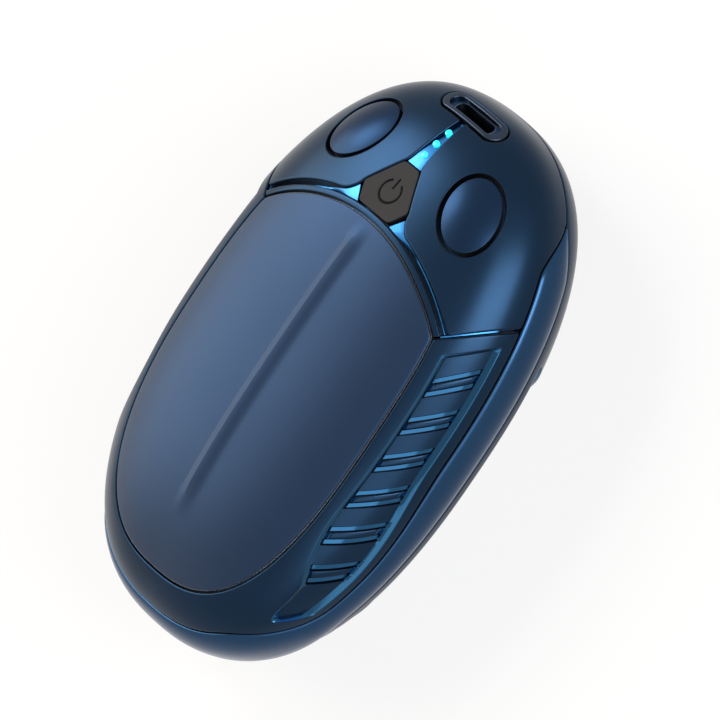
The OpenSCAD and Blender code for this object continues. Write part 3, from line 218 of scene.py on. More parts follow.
def slab(name, top, low, loop=False, marks=None):
    """That solid as a piece, where the marks name the finish of each face of the top."""
    points, faces = slab_parts(top, low, loop)
    if marks is not None:
        marks = np.concatenate([np.ravel(marks), np.zeros(len(faces) - np.size(marks), int)])
    return build(name, points, faces, marks)


def cap_parts(level, radius, a, b, at, turned, steps):
    """Points and faces of a cap on an elliptical foot: rings of that radius, as a share of the half
    widths a and b, each at its own level, laid at a place with a turn."""
    t = np.linspace(0, 2 * math.pi, steps, endpoint=False)
    x, y = a * radius[None] * np.cos(t)[:, None], b * radius[None] * np.sin(t)[:, None]
    p = np.stack([x, y, level[None] + 0 * x], -1) @ turned.T + at
    cols = len(level)
    foot = np.array([[0, 0, level[0]]]) @ turned.T + at
    fan = [[i * cols, (i + 1) % steps * cols, steps * cols] for i in range(steps)]
    faces = [*grid_faces(steps, cols, loop=True).tolist(), *fan]
    return np.concatenate([p.reshape(-1, 3), foot]), faces


def mirrored(right):
    """A right half of rows from one end to the middle, followed by its mirror image in x."""
    return np.concatenate([right, right[::-1][1:] * np.array([-1, 1, 1])])


def closed(half):
    """A half outline that starts and ends on the middle line, and its mirror image, as one loop."""
    return np.concatenate([half, (half * [-1, 1])[::-1][1:-1]])


def upside(points):
    """The same points on the lower half of the body: z mirrored about the middle plane."""
    return points * [1, 1, -1] + [0, 0, 2 * MID]


print("steps round an edge, in radii:", edge_in.round(2), "in, and", edge_down.round(2), "down")

# %% [markdown]
# ## Pieces with a free outline
# The head cover has round openings, a channel and a hexagon in it, which no
# plain grid follows. Such a piece is drawn on a flat chart of the surface, its
# area is filled with triangles by a constrained Delaunay triangulation, and the
# chart is laid on the body. Each outline carries its rounded edge and its wall.

# %% The chart and the carver
CHART_LOW, CHART_STEPS, CHART_MEAN = -0.6, 3000, 44.0
CORNER_LIMIT, ROW_SHARE, CLEAR_SHARE, FILL_MARGIN, BATCH = 0.7, 0.87, 0.55, 0.12, 2000
chart_e = np.linspace(RIGHT, CHART_LOW, CHART_STEPS)
chart_step = np.hypot(np.diff(shrink(chart_e)), np.diff(height(chart_e)) / CHART_MEAN)
chart_s = np.concatenate([[0], np.cumsum(chart_step)])


def to_chart(t, e):
    """Flat position of t, e: the direction t, at about the arc length from the crown."""
    r = plan_radius(t) * np.interp(-np.asarray(e), -chart_e, chart_s)
    return np.stack([r * np.cos(t), r * np.sin(t)], -1)


def plan_to_chart(x, y):
    """Flat position of the surface point over plan position x, y."""
    return to_chart(np.arctan2(y, x), lift(x, y))


def from_chart(p, d=0.0):
    """Surface point of a flat position, at depth d."""
    t = np.arctan2(p[..., 1], p[..., 0])
    s = np.hypot(p[..., 0], p[..., 1]) / plan_radius(t)
    return skin(t, np.interp(s, chart_s, chart_e), d)


def resample(loop, step, soften=0):
    """The closed line through the points at even steps, with its corners softened by averaging."""
    p = np.concatenate([loop, loop[:1]])
    s = np.concatenate([[0], np.cumsum(np.linalg.norm(np.diff(p, axis=0), axis=1))])
    q = np.linspace(0, s[-1], max(8, int(round(s[-1] / step))) + 1)[:-1]
    p = np.stack([np.interp(q, s, p[:, 0]), np.interp(q, s, p[:, 1])], -1)
    for _ in range(soften):
        p = (np.roll(p, 1, 0) + 2 * p + np.roll(p, -1, 0)) / 4
    return p


def inset(loop, r):
    """The line moved to its left by r, along the mean normal of the two edges at each point."""
    a, b = loop - np.roll(loop, 1, 0), np.roll(loop, -1, 0) - loop
    a /= np.linalg.norm(a, axis=1, keepdims=True)
    b /= np.linalg.norm(b, axis=1, keepdims=True)
    n = np.stack([-(a + b)[:, 1], (a + b)[:, 0]], -1)
    n /= np.maximum(np.linalg.norm(n, axis=1, keepdims=True), 1e-6)
    side = np.stack([-a[:, 1], a[:, 0]], -1)
    return loop + r * n / np.maximum((n * side).sum(1, keepdims=True), CORNER_LIMIT)


def within(points, loops):
    """Even-odd rule: a point is inside when a ray to its right crosses the loops an odd number of times."""
    inside = np.zeros(len(points), bool)
    for loop in loops:
        a, b = loop, np.roll(loop, -1, 0)
        for k in range(0, len(points), BATCH):
            x, y = points[k:k + BATCH, 0, None], points[k:k + BATCH, 1, None]
            cross = (a[:, 1] > y) != (b[:, 1] > y)
            rise_y = np.where(b[:, 1] == a[:, 1], 1, b[:, 1] - a[:, 1])
            at = a[:, 0] + (y - a[:, 1]) / rise_y * (b[:, 0] - a[:, 0])
            inside[k:k + BATCH] ^= ((cross & (x < at)).sum(1) % 2).astype(bool)
    return inside


def fill(loops, step, ribs=()):
    """Triangles over the area between the loops, with free points on an even net of that step.
    Ribs are open lines inside the area that the triangles' edges follow."""
    edge = np.concatenate([*loops, *ribs])
    lo, hi = edge.min(0), edge.max(0)
    u, v = np.meshgrid(np.arange(lo[0], hi[0], step), np.arange(lo[1], hi[1], step * ROW_SHARE))
    u = u + step / 2 * (np.arange(len(v))[:, None] % 2)
    net = np.stack([u.ravel(), v.ravel()], -1)
    net = net[within(net, loops)]
    near = [np.linalg.norm(net[k:k + BATCH, None] - edge[None], axis=2).min(1)
            for k in range(0, len(net), BATCH)]
    far = np.concatenate([*near, np.zeros(0)]) > CLEAR_SHARE * step
    points = np.concatenate([edge, net[far]])
    lines, at = [], 0
    for loop in loops:
        n = len(loop)
        lines += [(at + i, at + (i + 1) % n) for i in range(n)]
        at += n
    for rib in ribs:
        lines += [(at + i, at + i + 1) for i in range(len(rib) - 1)]
        at += len(rib)
    out = delaunay_2d_cdt([Vector(p) for p in points.tolist()], lines, [], 0, 1e-5)
    where = np.array([v[:] for v in out[0]])
    index = np.zeros(len(points), int)
    for new, old in enumerate(out[3]):
        index[list(old)] = new
    tris = np.array([f for f in out[2] if len(f) == 3])
    tris = tris[within(where[tris].mean(1), loops)]
    return where, tris, [index[s:s + len(l)] for s, l in
                         zip(np.cumsum([0] + [len(l) for l in loops[:-1]]), loops)]


def carve(loops, radius, deep, place, step=0.8, relief=None, ribs=()):
    """Points and faces of a plate with the loops as its outline and openings, which run with the
    solid on their left: a filled top, a rounded edge, walls down to depth deep, and an underside.
    The radius is one number, or one for each loop."""
    radii = np.broadcast_to(radius, len(loops))
    body = [inset(l, r + FILL_MARGIN) for l, r in zip(loops, radii)]
    flat, tris, rings = fill(body, step, ribs)
    lay = relief if relief is not None else (lambda p: np.zeros(len(p)))
    n = len(flat)
    points = [place(flat, lay(flat)), place(flat, np.full(n, deep))]
    faces = [tris, tris[:, ::-1] + n]
    quads, count = [], 2 * n
    for loop, ring, radius in zip(loops, rings, radii):
        start = inset(loop, radius)
        last, m = ring, len(loop)
        dips = lay(loop)
        for a, b in zip(1 - edge_in, edge_down):
            points.append(place(start + (loop - start) * a, radius * b + dips))
            now = count + np.arange(m)
            count += m
            quads.append(np.stack([last, np.roll(last, -1), np.roll(now, -1), now], -1))
            last = now
        points.append(place(loop, np.full(m, deep)))
        now = count + np.arange(m)
        count += m
        for a, b in ((last, now), (now, ring + n)):
            quads.append(np.stack([a, np.roll(a, -1), np.roll(b, -1), b], -1))
    return np.concatenate(points), [*np.concatenate(faces).tolist(), *np.concatenate(quads).tolist()]


# A depth that stands for the underside, where a place function sets that level by itself.
BELOW = 9.0


def join(parts):
    """Several point and face lists as one, for separate solids in one piece."""
    points, faces, marks, count = [], [], [], 0
    for k, (p, f) in enumerate(parts):
        points.append(p)
        faces += [[i + count for i in face] for face in f]
        marks += [k] * len(f)
        count += len(p)
    return np.concatenate(points), faces, marks


print("the chart reaches", round(float(chart_s[-1]), 2), "times the plan radius")

# %% [markdown]
# ## The two warming plates
# Each plate is a thin metal sheet with a superellipse tail and a round head end,
# held in the shells with a fine black gap. The front one has a low ridge along
# its middle, like the seam of a wing case: its left side is short and steep, and
# its right side is long and soft. Bevel and ridge could be a modifier and a
# sculpted line, but as depths of a formula they stay even and straight.

# %% Outline of a plate
PLATE_HALF, PLATE_MID, PLATE_END = 22.25, -2.0, -41.1
PLATE_CROWN, PLATE_CORNER, PLATE_POWER = 24.0, 15.7, 2.6
PLATE_GAP, PLATE_THICK, PLATE_BEVEL = 0.3, 1.2, 0.35
plate_tail = PLATE_MID - PLATE_END


def plate_x(y):
    """Half width of the plate at y: the superellipse of the plate's own power."""
    q = np.clip(np.abs(y - PLATE_MID) / plate_tail, 0, 1)
    return PLATE_HALF * (1 - q ** PLATE_POWER) ** (1 / PLATE_POWER)


plate_side = float(plate_x(PLATE_CORNER))
crown_length = PLATE_CROWN - PLATE_CORNER
arc_radius = (plate_side ** 2 + crown_length ** 2) / (2 * crown_length)
arc_mid = PLATE_CROWN - arc_radius


def arc_polar(r, t):
    """Distance from the origin at polar angle t to the circle of radius r about the arc centre."""
    return arc_mid * np.sin(t) + np.sqrt(r * r - (arc_mid * np.cos(t)) ** 2)


def arc_angle(r, x):
    """Polar angle of the point at x on that circle."""
    return np.arctan2(arc_mid + np.sqrt(r * r - x * x), x)


def plate_outline():
    """Plan outline, anticlockwise: tail curve and sides by their angle, then the arc at the head."""
    end = RIGHT + math.asin(((PLATE_CORNER - PLATE_MID) / plate_tail) ** (PLATE_POWER / 2))
    a = np.linspace(0, end, 160)
    k = 2 / PLATE_POWER
    side = np.stack([PLATE_HALF * np.sin(a) ** k,
                     PLATE_MID - np.sign(np.cos(a)) * plate_tail * np.abs(np.cos(a)) ** k], -1)
    x = np.linspace(plate_side, 0, 50)[1:]
    arc = np.stack([x, arc_mid + np.sqrt(arc_radius ** 2 - x * x)], -1)
    return closed(np.concatenate([side, arc]))


RIDGE_TAIL, RIDGE_HEIGHT, RIDGE_LEFT, RIDGE_RIGHT = -32.8, 0.38, 1.3, 2.6
RIDGE_FADE, RIDGE_TAIL_FADE = 6.0, 9.0


def ridge(p):
    """Depth of the ridge, which is negative: a short straight side on the left and a long eased one
    on the right, both fading in from the tail and out near the head."""
    x, y = p[:, 0], p[:, 1]
    fade = ease((y - RIDGE_TAIL) / RIDGE_TAIL_FADE) * ease((PLATE_CROWN - y) / RIDGE_FADE)
    left = np.clip(1 + x / RIDGE_LEFT, 0, 1)
    right = 1 - ease(x / RIDGE_RIGHT)
    return -RIDGE_HEIGHT * fade * np.where(x < 0, left, right)


plate_loop = resample(plate_outline(), 0.4, 3)
rib_y = np.arange(RIDGE_TAIL, PLATE_CROWN - 0.9, 0.4)
ridge_lines = [np.stack([0 * rib_y + x, rib_y], -1) for x in (-RIDGE_LEFT, 0.0)]
front_plate = build("front_plate_skin", *carve([plate_loop], PLATE_BEVEL, PLATE_THICK,
                    lambda p, d: above(p[:, 0], p[:, 1], d), step=0.55, relief=ridge,
                    ribs=ridge_lines), sharp=12.0)


def back_place(p, d):
    """Underside of the body over plan positions, cut flat where it rests."""
    q = upside(above(p[:, 0], p[:, 1], d))
    q[:, 2] = np.maximum(q[:, 2], np.where(d > PLATE_THICK / 2, PLATE_THICK, 0))
    return q


back_plate = build("back_plate_skin", *carve([plate_loop], PLATE_BEVEL, PLATE_THICK, back_place, step=0.8))
print("plate triangles:", len(front_plate.data.polygons), len(back_plate.data.polygons))

# %% [markdown]
# ## Shells with slotted flanks
# Front frame and back shell run from the plate's gap down to the middle band. A
# long sunk panel on each flank holds six pairs of slots: between the two slots of
# a pair stands a low bar. Cutting the slots with booleans would leave thin faces
# and broken shading, so they are part of the grid. One grid row is one line from
# the plate to the seam, as on the CAD model, and extra rows and columns stand
# wherever the depth changes, so that each slot keeps a crisp edge. The slots'
# floors, the bars' ends and the panel's end walls are polished, its long walls
# have a darker polish, and the rest is satin.

# %% Seams and rows of the shells
SHELL_WALL, HEAD_WALL, SEAM_GAP, SHOULDER_GAP = 2.4, 2.8, 0.2, 0.8
FLANK_Z, TAIL_Z, HEAD_Z = 3.5, 7.0, -1.2
BAND_START, BAND_TIP, BAND_FULL = map(math.radians, (65, 63, 52))
TAIL_START, TAIL_FULL = map(math.radians, (-48, -72))
SEAM_SAG, SAG_ANGLE = 1.7, math.radians(40)
LEDGE_WIDTH, LEDGE_DEPTH = 1.8, 1.25


def seam_line(t, flank, tail):
    """Height of a seam: its flank height, eased to the head seam and to its tail height."""
    return np.where(t > BAND_FULL, mix(flank, HEAD_Z, ease((t - BAND_FULL) / (BAND_START - BAND_FULL))),
                    mix(flank, tail, ease((TAIL_START - t) / (TAIL_START - TAIL_FULL))))


def sag_share(t):
    """Share of the sag at polar angle t: a smooth step from the middle back to the sag angle."""
    return ease(-t / SAG_ANGLE)


def seam_up(t):
    """Height of the band's upper seam, which sags behind the middle."""
    return seam_line(t, FLANK_Z - SEAM_SAG * sag_share(t), TAIL_Z)


def seam_down(t):
    """Height of the band's lower seam, which meets the upper one at the head."""
    return seam_line(t, -FLANK_Z, -TAIL_Z)


def y_angle(y, e):
    """Polar angle of the surface point with that y at rise e, on the right side."""
    g = shrink(e)
    x = HALF_W * np.maximum(1e-3, g ** PLAN_POWER - (np.abs(y) / HALF_L) ** PLAN_POWER) ** (1 / PLAN_POWER)
    return np.arctan2(y, x)


def per_rise(t, e):
    """Millimetres along the surface for one radian of rise: the length of the slope of shrink times
    the plan radius, and of height."""
    k = 2 / DEPTH_POWER
    c, s = np.maximum(np.cos(e), 1e-3), np.maximum(np.abs(np.sin(e)), 1e-3)
    return np.hypot(plan_radius(t) * k * c ** (k - 1) * s, HALF_D * k * s ** (k - 1) * c)


VENT_HIGH, VENT_LOW, VENT_DEPTH, VENT_LOW_DROP = 11.9, 5.7, 0.7, 2.4
VENT_DROP, DROP_MARGIN, DROP_RUN, DROP_POWER = 5.5, 26.1, 22.6, 2.15
UPPER_WALL, LOWER_WALL, LOW_MARGIN, PANEL_LEAST = map(math.radians, (1.7, 2.5, 2.6, 9.5))
PANEL_START, FIRST_SLOT, SLOT_PITCH, SLOT_PAIRS = 3.6, 8.0, 7.05, 6
SPREAD, SPREAD_RUN, PAIR_WIDTH, BAR_HEIGHT = 5.0, 22.8, 3.6, 0.34
SLOT_BEND = 0.68
SLOT_SLANT, SHOULDER_SLANT, PANEL_END, TAIL_SWEEP = 10.2, 7.9, 0.118, 0.8
TIP_BEND, BEND_SHARE = 1.0, 0.1
SHOULDER_TOP_RUN, SHOULDER_LOW_RUN = 0.4, 8.25
tip_rise = float(rise(VENT_HIGH - VENT_DROP))


def vent_top(y):
    """Rise of the panel's upper edge for the row that starts at y: it curves down by a power."""
    u = max(0.0, PLATE_END + DROP_MARGIN - y) / DROP_RUN
    return float(rise(VENT_HIGH - VENT_DROP * u ** DROP_POWER))


def vent_place(s):
    """Place along the plate of a length s behind its corner: near the tail the slots spread."""
    u = max(0.0, s - PLATE_CORNER + PLATE_END + SPREAD_RUN) / SPREAD_RUN
    return PLATE_CORNER - s - SPREAD * u * u


slot_tail = vent_place(FIRST_SLOT + SLOT_PITCH * (SLOT_PAIRS - 1) + PAIR_WIDTH)
shoulder_y = PLATE_CORNER + SHOULDER_TOP_RUN
shoulder_x = math.sqrt((arc_radius + PLATE_GAP) ** 2 - (shoulder_y - arc_mid) ** 2)
shoulder_top = math.atan2(shoulder_y, shoulder_x)
shoulder_low = float(y_angle(PLATE_CORNER + SHOULDER_LOW_RUN, rise(FLANK_Z)))


CUT = 7     # place of the depth of an edge in a row


def row(x, y, t5, deep=0.0, e1=float(rise(VENT_HIGH)), bar=0.0, shine=0.0, cut=0.0, bend=1.0,
        slot=0.0):
    """One line across a shell: inner end x, y, polar angle at the seam, depth of the panel, upper
    edge of the panel, share of the bar, share of polish, depth of an edge, bend of the line,
    depth of the slot under the panel's floor."""
    return [float(v) for v in (x, y, t5, deep, e1, bar, shine, cut, bend, slot)]


def side_row(y, deep=0.0, **more):
    """A row that starts at the plate's side at y and slants towards the head on its way down."""
    slant = mix(SLOT_SLANT, SHOULDER_SLANT, ease((y - PLATE_CORNER + FIRST_SLOT) / FIRST_SLOT))
    bend = mix(SLOT_BEND, 1, ease((y - PLATE_CORNER + FIRST_SLOT) / PANEL_START))
    return row(plate_x(y) + PLATE_GAP, y, y_angle(y + slant, rise(FLANK_Z)), deep, vent_top(y),
               bend=bend, **more)


# Half of a pair of slots along the flank: offset, depth under the panel, share of the bar, polish.
slot_profile = [(0.0, 0, 0, 0), (0.05, .3, 0, 0), (0.1, .5, 0, 0), (0.18, .5, 0, 0), (0.24, .36, 0, 1),
                (0.6, .36, 0, 1), (0.98, .36, 0, 1), (1.04, .62, 0, 0), (1.18, .7, 0, 0),
                (1.24, .36, .9, 0), (1.32, .36, 1, 0), (1.55, .36, 1.1, 0)]
slot_profile += [(PAIR_WIDTH - a, *b) for a, *b in reversed(slot_profile)]


# The panel's wall at the head: place as a share of its width, share of the depth, polish.
START_WALL = ((-0.25, 0, 0), (-0.05, 0.01, 0), (0.1, 0.08, 1), (0.5, 0.5, 1), (1, 1, 1))


def side_rows():
    """Rows from the panel's head wall to its last pair of slots."""
    start = PLATE_CORNER - PANEL_START
    rows = [side_row(start + VENT_DEPTH * (1 - u), VENT_DEPTH * w, shine=k) for u, w, k in START_WALL]
    last = start
    for k in range(SLOT_PAIRS):
        s0 = FIRST_SLOT + SLOT_PITCH * k
        y0 = vent_place(s0)
        rows += [side_row(mix(last, y0, u), VENT_DEPTH) for u in np.linspace(0, 1, 7)[1:-1]]
        rows += [side_row(vent_place(s0 + a), VENT_DEPTH, slot=b, bar=c, shine=d)
                 for a, b, c, d in slot_profile]
        last = vent_place(s0 + PAIR_WIDTH)
    return rows


LEAD_ROWS, TAIL_ROWS, HEAD_ROWS, HEAD_LAST = 10, 60, 44, 0.02
# The panel's wall at the tail: place as a share of the sweep, share of the depth, polish.
END_WALL = ((-0.0085, 1, 1), (-0.008, .95, 1), (-0.001, .12, 1), (0, .03, 0), (0.001, 0, 0))


def tail_rows():
    """Rows round the tail: the inner end follows the plate, the seam end sweeps to the middle."""
    turn_x = float(plate_x(slot_tail))
    turn_angle = math.asin((turn_x / PLATE_HALF) ** (PLATE_POWER / 2))
    turn_polar = float(y_angle(slot_tail + SLOT_SLANT, rise(FLANK_Z)))
    stops = [(u, 1, 0) for u in np.linspace(0, PANEL_END + END_WALL[0][0], 12)[1:-1]]
    stops += [(PANEL_END + u, w, k) for u, w, k in END_WALL]
    stops += [(u, 0, 0) for u in np.linspace(PANEL_END, 1, TAIL_ROWS)[1:]]
    rows = []
    for u, w, k in stops:
        a = turn_angle * (1 - u)
        x = PLATE_HALF * math.sin(max(a, 0)) ** (2 / PLATE_POWER)
        y = PLATE_MID - plate_tail * (1 - min(1, x / PLATE_HALF) ** PLATE_POWER) ** (1 / PLATE_POWER)
        rows.append(row(x + PLATE_GAP * math.sin(a), y - PLATE_GAP * math.cos(a),
                        mix(turn_polar, -RIGHT, u ** TAIL_SWEEP), VENT_DEPTH * w,
                        mix(vent_top(slot_tail), tip_rise, min(1, u / PANEL_END)), shine=k,
                        bend=mix(SLOT_BEND, 1 + TIP_BEND, float(ease(u / BEND_SHARE)))))
    return rows


EDGE_RADIUS = 0.3
shoulder_edge = shoulder_low - math.atan(SHOULDER_GAP / 2 / HALF_W)
corner_row = row(plate_side + PLATE_GAP, PLATE_CORNER, shoulder_edge)


def lead_rows(first, target, edge=0.0):
    """Rows blended from one row to the next, the first few stepping round an edge of that radius."""
    length = max(1e-6, first[1] - target[1])
    us = sorted({*(edge * edge_in / length), *np.linspace(edge / length, 1, LEAD_ROWS)[:-1]})
    rows = []
    for u in us:
        r = [mix(a, b, u) for a, b in zip(first, target)]
        k = max(0.0, 1 - u * length / edge) if edge else 0.0
        r[CUT] = edge * (1 - math.sqrt(max(0.0, 1 - k * k)))
        rows.append(r)
    return rows


flank = side_rows()
tail = tail_rows()
front_rows = lead_rows(corner_row, flank[0], edge=EDGE_RADIUS) + flank + tail
BACK_LEAD = math.radians(3)
back_from = shoulder_low - BACK_LEAD
head_rows = []
for u in np.linspace(1, HEAD_LAST, HEAD_ROWS):
    tp = mix(math.atan2(PLATE_CORNER, plate_side), RIGHT, u)
    r = float(arc_polar(arc_radius + PLATE_GAP, tp))
    head_rows.append(row(r * math.cos(tp), r * math.sin(tp), mix(back_from, RIGHT, u)))
back_rows = head_rows + lead_rows(head_rows[-1], flank[0])[1:] + flank + tail
print("rows: front", len(front_rows), "back", len(back_rows))

# %% [markdown]
# The columns of a row are: the ledge under the plate, the rounded edge at the
# gap, the upper margin, the panel's upper wall, its floor, its lower wall, the
# lower margin and the rounded edge at the seam.

# %% Shells
# Across a wall: share of its width, share of the depth. Then the bar's ramps and the slot's ends as
# shares of the floor, and the places of the floor's columns.
wall_shares = [(-0.1, 0), (0, 0.02), (0.1, 0.1), (0.5, 0.5), (1, 1)]
RAMP_UP, RAMP_DOWN, SLOT_END, SUNK_LEAST = 0.06, 0.13, 0.02, 0.3
floor_shares = np.concatenate([[0.004, SLOT_END, 0.04, RAMP_UP],
                               np.linspace(RAMP_UP, 1 - RAMP_DOWN, 16)[1:],
                               [0.9, 0.94, 1 - SLOT_END, 0.996]])


def shell_grid(rows, seam, drop=0.0):
    """Top and underside of a shell over its rows, and a mark for each polished face."""
    q = np.array(rows)
    x, y, t5, deep, e1, bar, shine, cut, bend, slot = (q[:, i:i + 1] for i in range(10))
    t0, e0, e5 = np.arctan2(y, x), lift(x, y), rise(seam(t5) + SEAM_GAP / 2)
    e4 = np.maximum(rise(VENT_LOW - drop * sag_share(t5)), e5 + LOW_MARGIN)
    e1 = np.maximum(e1, e4 + PANEL_LEAST)
    in0, in5 = EDGE_RADIUS / per_rise(t0, e0), EDGE_RADIUS / per_rise(t5, e5)
    cols, depths, kinds = [], [], []

    def add(e, d, kind):
        """One more column: its rise, its depth and its kind."""
        cols.append(e + 0 * x)
        depths.append(d + 0 * x)
        kinds.append(kind)

    for a, b in zip(edge_in[::-1], edge_down[::-1]):
        add(e0 - in0 * a, EDGE_RADIUS * b, 0)
    for u in np.linspace(0, 1, 7)[1:-1]:
        add(mix(e0 - in0, e1 + 0.1 * UPPER_WALL, u), 0, 0)
    for a, b in wall_shares:
        add(e1 - UPPER_WALL * a, deep * b, 1)
    for u in floor_shares:
        ramp, end = min(1, u / RAMP_UP, (1 - u) / RAMP_DOWN), min(1, u / SLOT_END, (1 - u) / SLOT_END)
        add(mix(e1 - UPPER_WALL, e4 + LOWER_WALL, u), deep + slot * end - bar * BAR_HEIGHT * ramp,
            2 if ramp == 1 else 3)
    for a, b in wall_shares[::-1]:
        add(e4 + LOWER_WALL * a, deep * b, 1)
    for u in np.linspace(0, 1, 6)[1:-1]:
        add(mix(e4 - 0.1 * LOWER_WALL, e5 + in5, u), 0, 0)
    for a, b in zip(edge_in, edge_down):
        add(e5 + in5 * a, EDGE_RADIUS * b, 0)
    e, d = np.concatenate(cols, 1), np.concatenate(depths, 1)
    t = mix(t0, t5, np.clip((e0 - e) / (e0 - e5), 0, 1) ** bend)
    k = 1 - LEDGE_WIDTH / np.hypot(x, y)
    ledge = [above(x * k, y * k, LEDGE_DEPTH), skin(t0, e0, LEDGE_DEPTH)]
    top = np.concatenate([*ledge, skin(t, e, d + cut)], 1)
    low = np.concatenate([above(x * k, y * k, SHELL_WALL), skin(t0, e0, SHELL_WALL),
                          skin(t, e, SHELL_WALL)], 1)
    kinds = np.array([0, 0] + kinds)
    left, right = kinds[:-1], kinds[1:]
    wall = (left == 1) & (right == 1)
    ramps = (np.maximum(left, right) == 3) & (np.minimum(left, right) >= 2)
    sunk = np.maximum(deep[:-1], deep[1:]) > SUNK_LEAST
    bars = np.minimum(bar[:-1], bar[1:]) > 0.5
    bright = np.minimum(shine[:-1], shine[1:]) > 0.5
    marks = (sunk & wall[None]) | (bars & ramps[None]) | (bright & (np.minimum(left, right) >= 1)[None])
    pairs = np.maximum(slot[:-1], slot[1:]) > 0
    return top, low, np.where(sunk & wall[None] & (pairs | ~bright), 2, marks.astype(int))


def both_sides(top, low, marks, loop):
    """The right half and its mirror image, joined at the tail, and at the head for a loop."""
    last = -1 if loop else None
    return mirrored(top)[:last], mirrored(low)[:last], np.concatenate([marks, marks[::-1]])


top, low, marks = both_sides(*shell_grid(front_rows, seam_up, VENT_LOW_DROP), False)
front_frame = slab("front_frame_skin", top, low, marks=marks)
top, low, marks = both_sides(*shell_grid(back_rows, lambda t: -seam_down(t)), True)
back_shell = slab("back_shell_skin", upside(top), upside(low), loop=True, marks=marks)
print("shell faces:", len(front_frame.data.polygons), len(back_shell.data.polygons))

# %% [markdown]
# ## The middle band
# A band with a soft bulge closes the two shells together. It runs from one
# shoulder round the tail to the other, grows taller at the tail and ends in two
# points beside the head. A curve with a bevel profile could draw it, but could
# not follow both seams as they part, so it is a single grid: polar angle along
# it, height across it.

# %% Band
BULGE, BULGE_POWER, BAND_EDGE = 0.8, 0.7, 0.22


def band_grid(ts):
    """Rows of the band: across it, the bulge is (1 - w^2) to its power, with w from 1 to -1."""
    a, b = seam_up(ts) - SEAM_GAP / 2, seam_down(ts) + SEAM_GAP / 2
    m, h = (a + b) / 2, np.maximum(0.02, (a - b) / 2)
    r = np.minimum(BAND_EDGE, h / 2)
    full = np.minimum(1, h / FLANK_Z)
    share = r / h / 2
    u, d = rounded(share, r, mix(share[:, None], 1 - share[:, None], np.linspace(0, 1, 25)[1:-1]))
    w = 1 - 2 * u
    e = rise(m[:, None] + h[:, None] * w)
    out = BULGE * full[:, None] * np.clip(1 - w * w, 0, 1) ** BULGE_POWER
    t = ts[:, None] + 0 * w
    return skin(t, e, d - out), skin(t, e, SHELL_WALL + 0 * w)


band_t = np.concatenate([np.linspace(BAND_TIP, BAND_FULL, 24)[:-1],
                         np.linspace(BAND_FULL, -RIGHT, 150)])
top, low = band_grid(band_t)
mid_band = slab("mid_band_skin", mirrored(top), mirrored(low))
print("band faces:", len(mid_band.data.polygons))

# %% [markdown]
# ## The head cover
# The cover closes the head end. Seen from above it has a thin strip along the
# plate, a channel for the blue trims, and beyond it one moulded layer that
# surrounds the button, the port and the two domes. A boolean would leave ragged
# normals, so the layers are separate closed solids in one piece: strip, upper
# layer with its openings, and the floor under both.

# %% Places on the head
STRIP_WIDTH, STRIP_ROUND, STRIP_SUNK = 1.0, 0.2, 0.05
ARM_WIDTH, FLARE_WIDTH, CHANNEL_DEPTH = 1.0, 2.3, 1.9
ARM_INNER, ARM_OUTER, ARM_FLARE = 3.5, 5.3, 8.2
HEAD_ARM_HALF, HEAD_ARM_TIP, ARM_TAPER = 1.85, 0.55, 0.6
BUTTON_LONG, BUTTON_SHORT, BUTTON_GAP, BUTTON_RIM = 7.1, 3.4, 0.2, 0.8
long_side = (BUTTON_LONG + 2 * BUTTON_SHORT) / (2 * math.sqrt(3))
short_side = (2 * BUTTON_LONG + BUTTON_SHORT) / (2 * math.sqrt(3))
button_y = PLATE_CROWN + PLATE_GAP + STRIP_WIDTH + BUTTON_GAP + long_side
button_z = float(height(lift(0.0, button_y))) + MID
strip_edge = arc_radius + PLATE_GAP + STRIP_WIDTH
lobe_edge = strip_edge + ARM_WIDTH
PORT_Y, SLOT_LONG, SLOT_HIGH = HALF_L - 2.75, 11.0, 2.8
BEZEL_RIM, BEZEL_BAND, BEZEL_GAP = 1.35, 0.8, 0.3
EYE_SIDE, EYE_HEAD, EYE_LONG, EYE_SHORT = 13.5, 34.4, 7.05, 5.35
EYE_TURN, EYE_LEAN, EYE_SIDE_LEAN, EYE_DEPTH = 27.0, 19.0, 14.5, 1.9
EYE_GROOVE, EYE_EDGE, EYE_CROWN, EYE_ROUND, EYE_FOOT = 0.75, 1.4, 0.9, 0.1, 0.12
LIGHT_START, LIGHT_PITCH, LIGHT_RADIUS, LIGHT_GAP = 2.5, 2.4, 0.55, 0.04


def hexagon(grow=0.0):
    """Corners of the button, anticlockwise from the lower left, in plan."""
    a, b, l, r3 = BUTTON_LONG / 2, BUTTON_SHORT, long_side, math.sqrt(3)
    pts = np.array([[-a, -l], [a, -l], [a + b / 2, b * r3 / 2 - l],
                    [b / 2, short_side], [-b / 2, short_side], [-a - b / 2, b * r3 / 2 - l]])
    return pts * (1 + grow / long_side) + [0, button_y]


def frame_at(x, y):
    """Place of a plane on the upper surface over x, y, and the lean of its normal towards the head."""
    z = float(height(lift(x, y)))
    n = slope(np.float64(x), np.float64(y), np.float64(z))
    return np.array([x, y, z + MID]), math.atan2(n[1], n[2])


def turn(axis, angle):
    """Rotation matrix about a named axis."""
    return np.array(Matrix.Rotation(angle, 3, axis))


port_at, port_lean = frame_at(0.0, PORT_Y)
port_turn = turn("X", -port_lean)


def eye_frame(s):
    """Place and turn of the dome on side s, leaned to the head, leaned outwards and turned."""
    at = np.array([s * EYE_SIDE, EYE_HEAD, float(height(lift(EYE_SIDE, EYE_HEAD))) + MID])
    r = turn("X", math.radians(-EYE_LEAN)) @ turn("Y", math.radians(s * EYE_SIDE_LEAN)) \
        @ turn("Z", math.radians(s * EYE_TURN))
    return at, r


DROP_SPAN, HALVINGS = 6.0, 40


